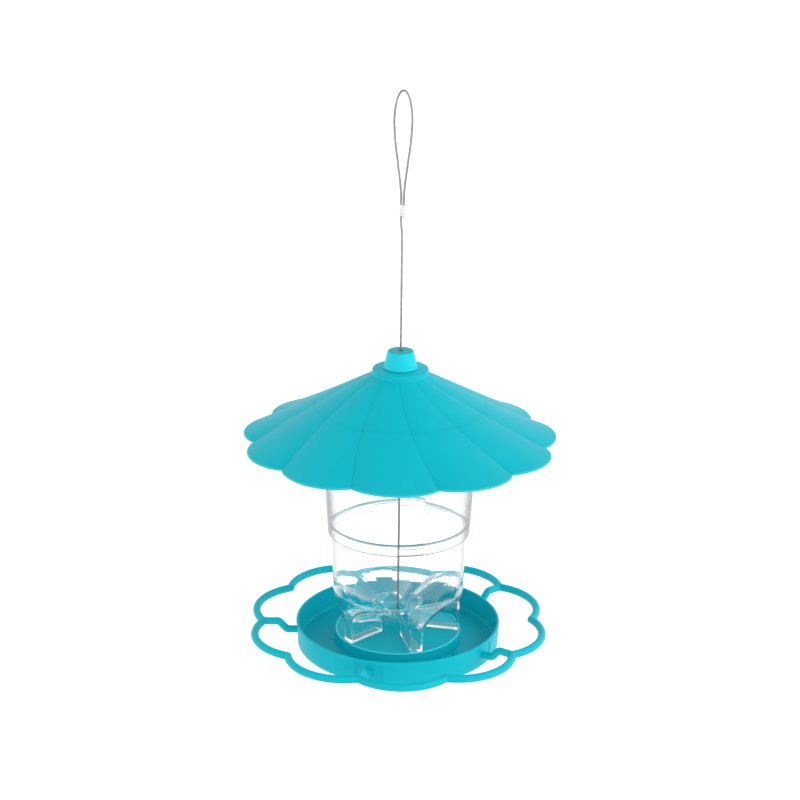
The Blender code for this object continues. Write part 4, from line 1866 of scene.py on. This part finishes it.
@dataclass
class RoofKnob:
    """Tapered knob that slides on the rope and snaps into the roof's disc."""

    shop: Workshop
    base_radius: float = 0.0107
    top_radius: float = 0.0082
    top_edge: float = 0.0011
    bore_radius: float = 0.00175
    spigot_radius: float = 0.0058
    snap_radius: float = 0.0067
    snap_drop: float = 0.0033
    snap_thickness: float = 0.0016
    snap_bevel: float = 0.0006
    edge_fillet: float = 0.0003
    snap_fillet: float = 0.0002

    def build(self, material: bpy.types.Material) -> None:
        """Mould the knob and dress it.

        Args:
            material: Its finish.
        """
        snap_top = STACK.disc_top - self.snap_drop
        snap_low = snap_top - self.snap_thickness
        knob = self.shop.turn("knob_moulding", rounded([
            (self.base_radius, STACK.knob_low, self.edge_fillet),
            (self.top_radius, STACK.knob_top, self.top_edge),
            (self.bore_radius, STACK.knob_top, self.edge_fillet),
            (self.bore_radius, snap_low, 0.0),
            (self.snap_radius - self.snap_bevel, snap_low, self.snap_fillet / 2),
            (self.snap_radius, snap_low + self.snap_bevel, self.snap_fillet),
            (self.snap_radius, snap_top, self.snap_fillet),
            (self.spigot_radius, snap_top, 0.0),
            (self.spigot_radius, STACK.knob_low, 0.0),
        ], steps=7), segments=128)
        self.shop.dress(knob, material, Body.KNOB, "roof_knob", "knob_plastic")


@dataclass
class WireRope:
    """Twisted steel rope: its straight run, its loop, and the sleeve and stop crimped on it."""

    shop: Workshop
    trees: GeometryKit
    diameter: float = 0.0014
    strands: int = 5
    lay: float = 0.0080
    strand_share: float = 0.37
    leg_spacing: float = 0.00085
    gap: float = 0.0003
    bend: float = 0.0115
    half_width: float = 0.00543
    washer_radius: float = 0.0036
    washer_top: float = 0.0121
    washer_thickness: float = 0.0008
    stop_radius: float = 0.0018
    stop_length: float = 0.0050
    stop_waist: float = 0.0002
    stop_bend: float = 0.3
    stop_fillets: Spot = (0.0004, 0.0003)
    washer_fillets: Spot = (0.0002, 0.0001)
    ferrule_wall: float = 0.0004
    ferrule_ease: float = 0.0003
    crimps: float = 3.0
    crimp_depth: float = 0.0001
    crimp_run_in: float = 0.0006
    tail: float = 0.0010
    step: float = 0.0007
    run_length: float = 0.2744
    loop_length: float = 0.146
    lean_shares: tuple[Spot, ...] = ((0.0, 2.0), (0.15, 1.0), (0.85, 0.33))
    lean_points: int = 24
    loop_points: int = 90
    crown_points: int = 3
    loop_shares: tuple[Spot, ...] = (
        (0.15, 0.004), (0.40, 0.023), (0.57, 0.049), (0.70, 0.076), (0.77, 0.101),
        (0.90, 0.154), (0.96, 0.205), (1.00, 0.258), (0.985, 0.310), (0.91, 0.406),
        (0.83, 0.476), (0.72, 0.546), (0.59, 0.615), (0.50, 0.683), (0.37, 0.753),
        (0.27, 0.824), (0.18, 0.900), (0.161, 0.955),
    )

    def smooth_run(self, route: Sequence[Vector], count: int, fine: int = 12) -> list[Vector]:
        """Read even steps along a smooth curve through a route.

        Args:
            route: The route's points.
            count: How many points to read.
            fine: Steps between two points of the route that lengths are measured on.

        Returns:
            The points.
        """
        dense: list[Vector] = []
        padded = [2 * route[0] - route[1], *route, 2 * route[-1] - route[-2]]
        for before, start, end, after in zip(padded, padded[1:], padded[2:], padded[3:]):
            for step in range(fine):
                share = step / fine
                dense.append(0.5 * (
                    2 * start + (end - before) * share
                    + (2 * before - 5 * start + 4 * end - after) * share ** 2
                    + (3 * start - before - 3 * end + after) * share ** 3
                ))
        dense.append(route[-1])
        lengths = [0.0]
        for first, second in zip(dense, dense[1:]):
            lengths.append(lengths[-1] + (second - first).length)
        points: list[Vector] = []
        slot = 0
        for step in range(count):
            target = lengths[-1] * step / (count - 1)
            while slot < len(dense) - 2 and lengths[slot + 1] < target:
                slot += 1
            span = lengths[slot + 1] - lengths[slot]
            points.append(dense[slot].lerp(dense[slot + 1], (target - lengths[slot]) / span))
        return points

    def straight_route(self) -> list[Vector]:
        """Route from the stop up to the ferrule, where it leans over to its own leg.

        Returns:
            The route's points, in heights.
        """
        low = self.washer_top - self.washer_thickness
        line = [
            Vector((-self.leg_spacing * lean, 0.0, STACK.ferrule_low - self.bend * down))
            for lean, down in self.lean_shares
        ]
        line.append(Vector((-self.leg_spacing, 0.0, STACK.ferrule_low - self.gap)))
        start = [Vector((0.0, 0.0, low)), Vector((0.0, 0.0, STACK.knob_top))]
        return start + self.smooth_run(line, self.lean_points)

    def loop_route(self) -> list[Vector]:
        """Route out of the ferrule, round the loop and back.

        Returns:
            The route's points, in heights.
        """
        top = STACK.hang - self.diameter / 2
        drop = top - STACK.ferrule_top - self.gap
        right = [Vector((0.0, 0.0, top))]
        for index, (width_share, drop_share) in enumerate(self.loop_shares):
            narrowest = self.leg_spacing if index >= self.crown_points else 0.0
            width = max(self.half_width * width_share, narrowest)
            right.append(Vector((width, 0.0, top - drop * drop_share)))
        right.append(Vector((self.leg_spacing, 0.0, STACK.ferrule_top + self.gap)))
        left = [Vector((-point.x, point.y, point.z)) for point in reversed(right[1:])]
        return self.smooth_run(left + right, self.loop_points)

    def strand_piece(
        self, name: str, route: Sequence[Vector], material: bpy.types.Material
    ) -> tuple[bpy.types.Object, list[Vector]]:
        """Lay strands along a route.

        Args:
            name: Name of the piece.
            route: The route's points, in heights.
            material: The strands' finish.

        Returns:
            The piece, and its route in place.
        """
        hung = [point - Vector((0.0, 0.0, STACK.hang)) for point in route]
        mesh = bpy.data.meshes.new(name)
        mesh.from_pydata(hung, [(step, step + 1) for step in range(len(hung) - 1)], [])
        piece = self.shop.grow(name, self.trees.twisted_rope, {
            "Strands": self.strands,
            "Rope Diameter": self.diameter,
            "Strand Share": self.strand_share,
            "Lay Length": self.lay,
            "Step Length": self.step,
            "Material": material,
        }, source=mesh)
        return piece, hung

    def build_ferrule(self, material: bpy.types.Material) -> bpy.types.Object:
        """Oval sleeve pressed round both legs of the loop, with the cut tail below it.

        Args:
            material: Its finish.

        Returns:
            The finished sleeve.
        """
        radius, ease = self.diameter / 2 + self.ferrule_wall, self.ferrule_ease
        length = STACK.ferrule_top - STACK.ferrule_low
        levels, arc_steps, crease = 46, 16, 50.0
        builder = bmesh.new()
        sections = []
        for level in range(levels + 1):
            share = level / levels
            end = min(share, 1.0 - share) * length
            inset = ease - math.sqrt(max(0.0, ease ** 2 - max(0.0, ease - end) ** 2))
            wave = max(0.0, math.cos(share * self.crimps * math.tau))
            press = self.crimp_depth * wave * min(1.0, end / self.crimp_run_in)
            section = []
            for side, first in ((1.0, -90.0), (-1.0, 90.0)):
                for step in range(arc_steps + 1):
                    spot = polar(
                        radius - inset - press, first + 180.0 * step / arc_steps,
                        STACK.ferrule_low + length * share,
                    )
                    section.append(spot + Vector((side * self.leg_spacing, 0.0, 0.0)))
            sections.append(section)
        self.shop.loft(builder, sections)
        sleeve = self.shop.close("crimp_sleeve", builder, crease)
        tail = [
            Vector((self.leg_spacing, 0.0, STACK.ferrule_low + self.tail * side))
            for side in (-1, 0, 1)
        ]
        stub, _ = self.strand_piece("cut_tail", tail, material)
        return self.shop.gather("loop_sleeve", [sleeve, stub])

    def build_stop(
        self, washer_finish: bpy.types.Material, stop_finish: bpy.types.Material
    ) -> None:
        """Washer and crimped stop under the tray's hub.

        Args:
            washer_finish: The washer's finish.
            stop_finish: The stop's finish.
        """
        high = self.washer_top
        low = high - self.washer_thickness
        bore = self.diameter / 2 + self.gap
        soft, fine = self.washer_fillets
        washer = self.shop.turn("hub_washer", rounded([
            (self.washer_radius, low, soft), (self.washer_radius, high, soft),
            (bore, high, fine), (bore, low, fine),
        ], steps=3), segments=64)
        self.shop.dress(washer, washer_finish, Body.TRAY, "wire_washer", "washer_metal")
        top = low - self.gap
        foot = top - self.stop_length
        waist = self.stop_radius - self.stop_waist
        third = self.stop_length / 3
        soft, fine = self.stop_fillets
        stop = self.shop.turn("rope_stop", rounded([
            (0.0, foot, 0.0), (self.stop_radius, foot, soft),
            (self.stop_radius, foot + third, fine),
            (waist, foot + third * (1.0 + self.stop_bend), fine),
            (waist, foot + third * (2.0 - self.stop_bend), fine),
            (self.stop_radius, top - third, fine),
            (self.stop_radius, top, soft), (0.0, top, 0.0),
        ], steps=4), segments=48)
        self.shop.dress(stop, stop_finish, Body.TRAY, "wire_end_stop", "stop_metal")

    def build(self, steel: bpy.types.Material, crimp: bpy.types.Material) -> None:
        """Lay the rope and crimp its loop.

        Args:
            steel: The strands' finish.
            crimp: The sleeve's finish.
        """
        sleeve = self.build_ferrule(crimp)
        self.shop.dress(sleeve, crimp, Body.TRAY, "loop_ferrule", "ferrule_metal")
        run, run_path = self.strand_piece("rope_run", self.straight_route(), steel)
        self.shop.dress(run, steel, Body.TRAY, "hanging_wire", "wire_steel")
        loop, loop_path = self.strand_piece("rope_loop", self.loop_route(), steel)
        self.shop.dress(loop, steel, Body.TRAY, "wire_loop", "wire_steel")


@dataclass
class Studio:
    """Plain floor, soft light and the camera at the photograph's angle."""

    camera_place: tuple[float, float, float] = (-0.00014, -1.18836, 0.21414)
    camera_pitch: float = 19.07
    camera_roll: float = 0.65
    lens: float = 89.85
    sensor: float = 36.0
    sight: Spot = (0.05, 60.0)
    floor_colour: Colour = (0.86, 0.86, 0.86)
    floor_roughness: float = 0.9
    floor_lift: float = 0.42
    floor_drop: float = 0.26
    floor_reach: float = 14.0
    sun_strength: float = 0.8
    sun_spread: float = 40.0
    sun_aim: tuple[float, float, float] = (-0.80, 0.20, -0.50)
    zenith_fill: float = 0.30
    horizon_fill: float = 1.60
    right_fill: float = 0.30
    left_fill: float = 0.25
    dark_overhead: float = 0.55
    dark_span: Spot = (0.35, 0.60)
    white: Colour = (1.0, 1.0, 1.0)

    def stand(self, name: str, data: Any) -> bpy.types.Object:
        """Put a camera, a light or a mesh in the scene.

        Args:
            name: Name of the object.
            data: What it holds.

        Returns:
            The object.
        """
        thing = bpy.data.objects.new(name, data)
        bpy.context.scene.collection.objects.link(thing)
        return thing

    def place_camera(self) -> None:
        """Stand the camera where the photograph was taken from."""
        data = bpy.data.cameras.new("photograph_camera")
        data.lens = self.lens
        data.sensor_width = self.sensor
        data.clip_start, data.clip_end = self.sight
        camera = self.stand("photograph_camera", data)
        camera.matrix_world = (
            Matrix.Translation(self.camera_place)
            @ Matrix.Rotation(math.radians(90.0 - self.camera_pitch), 4, "X")
            @ Matrix.Rotation(math.radians(self.camera_roll), 4, "Z")
        )
        bpy.context.scene.camera = camera

    def lay_floor(self) -> None:
        """Lay a wide pale floor some way under the hanging feeder."""
        builder = bmesh.new()
        bmesh.ops.create_circle(
            builder, cap_ends=True, segments=96, radius=self.floor_reach,
            matrix=Matrix.Translation((0.0, 0.0, -STACK.hang - self.floor_drop)),
        )
        mesh = bpy.data.meshes.new("studio_floor")
        builder.to_mesh(mesh)
        builder.free()
        floor = self.stand("studio_floor", mesh)
        material, wiring, shader = blank_material("floor_paper", self.floor_colour)
        seen, sharp = self.rays(wiring)
        wiring.feed(shader, {
            "Base Color": self.floor_colour, "Roughness": self.floor_roughness,
            "Emission Color": self.white,
            "Emission Strength": wiring.math("MAXIMUM", seen, sharp) * self.floor_lift,
        })
        mesh.materials.append(material)

    def rays(self, wiring: Wiring) -> tuple[Value, Value]:
        """Tell the camera's rays and sharp reflections from the rest.

        Args:
            wiring: Wiring of the material or the world.

        Returns:
            One on a camera ray, and one on a glossy or transmission ray.
        """
        path = wiring.add("ShaderNodeLightPath")
        seen, glossy, passing = (
            wiring.read(path, f"Is {kind} Ray") for kind in ("Camera", "Glossy", "Transmission")
        )
        return seen, wiring.math("MAXIMUM", glossy, passing)

    def light(self) -> None:
        """Soft daylight from the right, with a fill that is stronger from the sides.

        Sharp reflections see a pale horizon under a darker overhead.
        """
        data = bpy.data.lights.new("key_light", "SUN")
        data.energy = self.sun_strength
        data.angle = math.radians(self.sun_spread)
        key = self.stand("key_light", data)
        key.rotation_euler = Vector(self.sun_aim).to_track_quat("-Z", "Y").to_euler()
        world = bpy.data.worlds.new("studio_world")
        bpy.context.scene.world = world
        world.use_nodes = True
        wiring = Wiring(world.node_tree)
        seen, sharp = self.rays(wiring)
        look = wiring.value("ShaderNodeTexCoord", output="Generated")
        across, _, up = wiring.parts(look)
        right = wiring.math("MAXIMUM", across, 0.0) * self.right_fill
        left = wiring.math("MINIMUM", across, 0.0) * -self.left_fill
        level = wiring.remap(up, 0.0, 1.0, self.horizon_fill, self.zenith_fill)
        overhead = wiring.remap(up, *self.dark_span, 1.0, self.dark_overhead)
        room = wiring.blend(sharp, level + (right + left), overhead)
        wiring.feed(world.node_tree.nodes["Background"], {
            "Color": wiring.blend(seen, room, self.white),
        })

    def build(self) -> None:
        """Set the whole studio up."""
        self.place_camera()
        self.lay_floor()
        self.light()
        bpy.context.scene.view_settings.view_transform = "Standard"


def main() -> None:
    """Build every piece and the studio round them."""
    logging.basicConfig(level=logging.INFO, format="%(name)s: %(message)s")
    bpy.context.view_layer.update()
    kit, trees, shop = ShaderKit(), GeometryKit(), Workshop()
    Studio().build()

    steel = BareMetal(
        "rope_steel", (0.50, 0.485, 0.455), (0.38, 0.37, 0.345), 0.34,
        painted_groove_colour=(0.022, 0.020, 0.018),
        # Painted shade: the rope is darkened below the eave, under the roof and inside the tube.
        band=Band((0.0, STACK.eave), (0.060, 0.055, 0.050), 0.55),
    ).material(kit)
    crimp = BareMetal("sleeve_aluminium", (0.84, 0.84, 0.83), (0.72, 0.72, 0.71)).material(kit)
    zinc = BareMetal("washer_zinc", (0.70, 0.70, 0.68), (0.56, 0.56, 0.54)).material(kit)
    pressed = BareMetal("stop_aluminium", (0.62, 0.62, 0.60), (0.50, 0.50, 0.48)).material(kit)
    rope = WireRope(shop, trees)
    rope.build(steel, crimp)
    rope.build_stop(zinc, pressed)

    tray = FeedingTray(shop, trees)
    # The tray's band is a painted highlight along the plateau's bead.
    tray_finish = MouldedPlastic(
        "tray_turquoise", (0.002, 0.510, 0.615), (0.003, 0.524, 0.630), tray.painted_bead_highlight()
    )
    tray.build(tray_finish.material(kit))
    # Painted shade: the cup's and the tube's dark outlines, and dark lines at the cup's flange and
    # the tube's lower edge.
    cup_finish = ClearPlastic(
        "cup_polystyrene", (0.24, 0.33, 0.35), (0.42, 0.90),
        Band.at(STACK.flange_top, below=0.0011, above=0.001, colour=(0.17, 0.30, 0.33), share=1.0),
    )
    SeedCup(shop).build(cup_finish.material(kit))
    tube_finish = ClearPlastic(
        "tube_polystyrene", (0.02, 0.03, 0.04), (0.30, 0.84),
        Band.at(STACK.tube_low, below=0.001, above=0.0005, colour=(0.30, 0.38, 0.40), share=1.0),
    )
    UpperTube(shop).build(tube_finish.material(kit))
    roof = PetalRoof(shop, trees)
    roof_finish = MouldedPlastic(
        "roof_turquoise", (0.002, 0.490, 0.590), (0.003, 0.505, 0.606),
        # Painted highlight: a paler line along the eave's lip.
        Band.at(STACK.eave, below=0.0015, above=0.0003, colour=(0.060, 0.640, 0.720), share=0.6),
        {**roof.rule(), "Sink Radius": roof.sink_radius},
    )
    roof.build(roof_finish.material(kit))
    knob_finish = MouldedPlastic(
        "knob_turquoise", (0.014, 0.650, 0.765), (0.018, 0.666, 0.780),
        # Painted shade: the knob's top is darkened inside its rounded edge.
        Band.at(STACK.knob_top, below=0.0002, above=0.001, colour=(0.030, 0.330, 0.350), share=0.8),
    )
    RoofKnob(shop).build(knob_finish.material(kit))


if __name__ == "__main__":
    main()
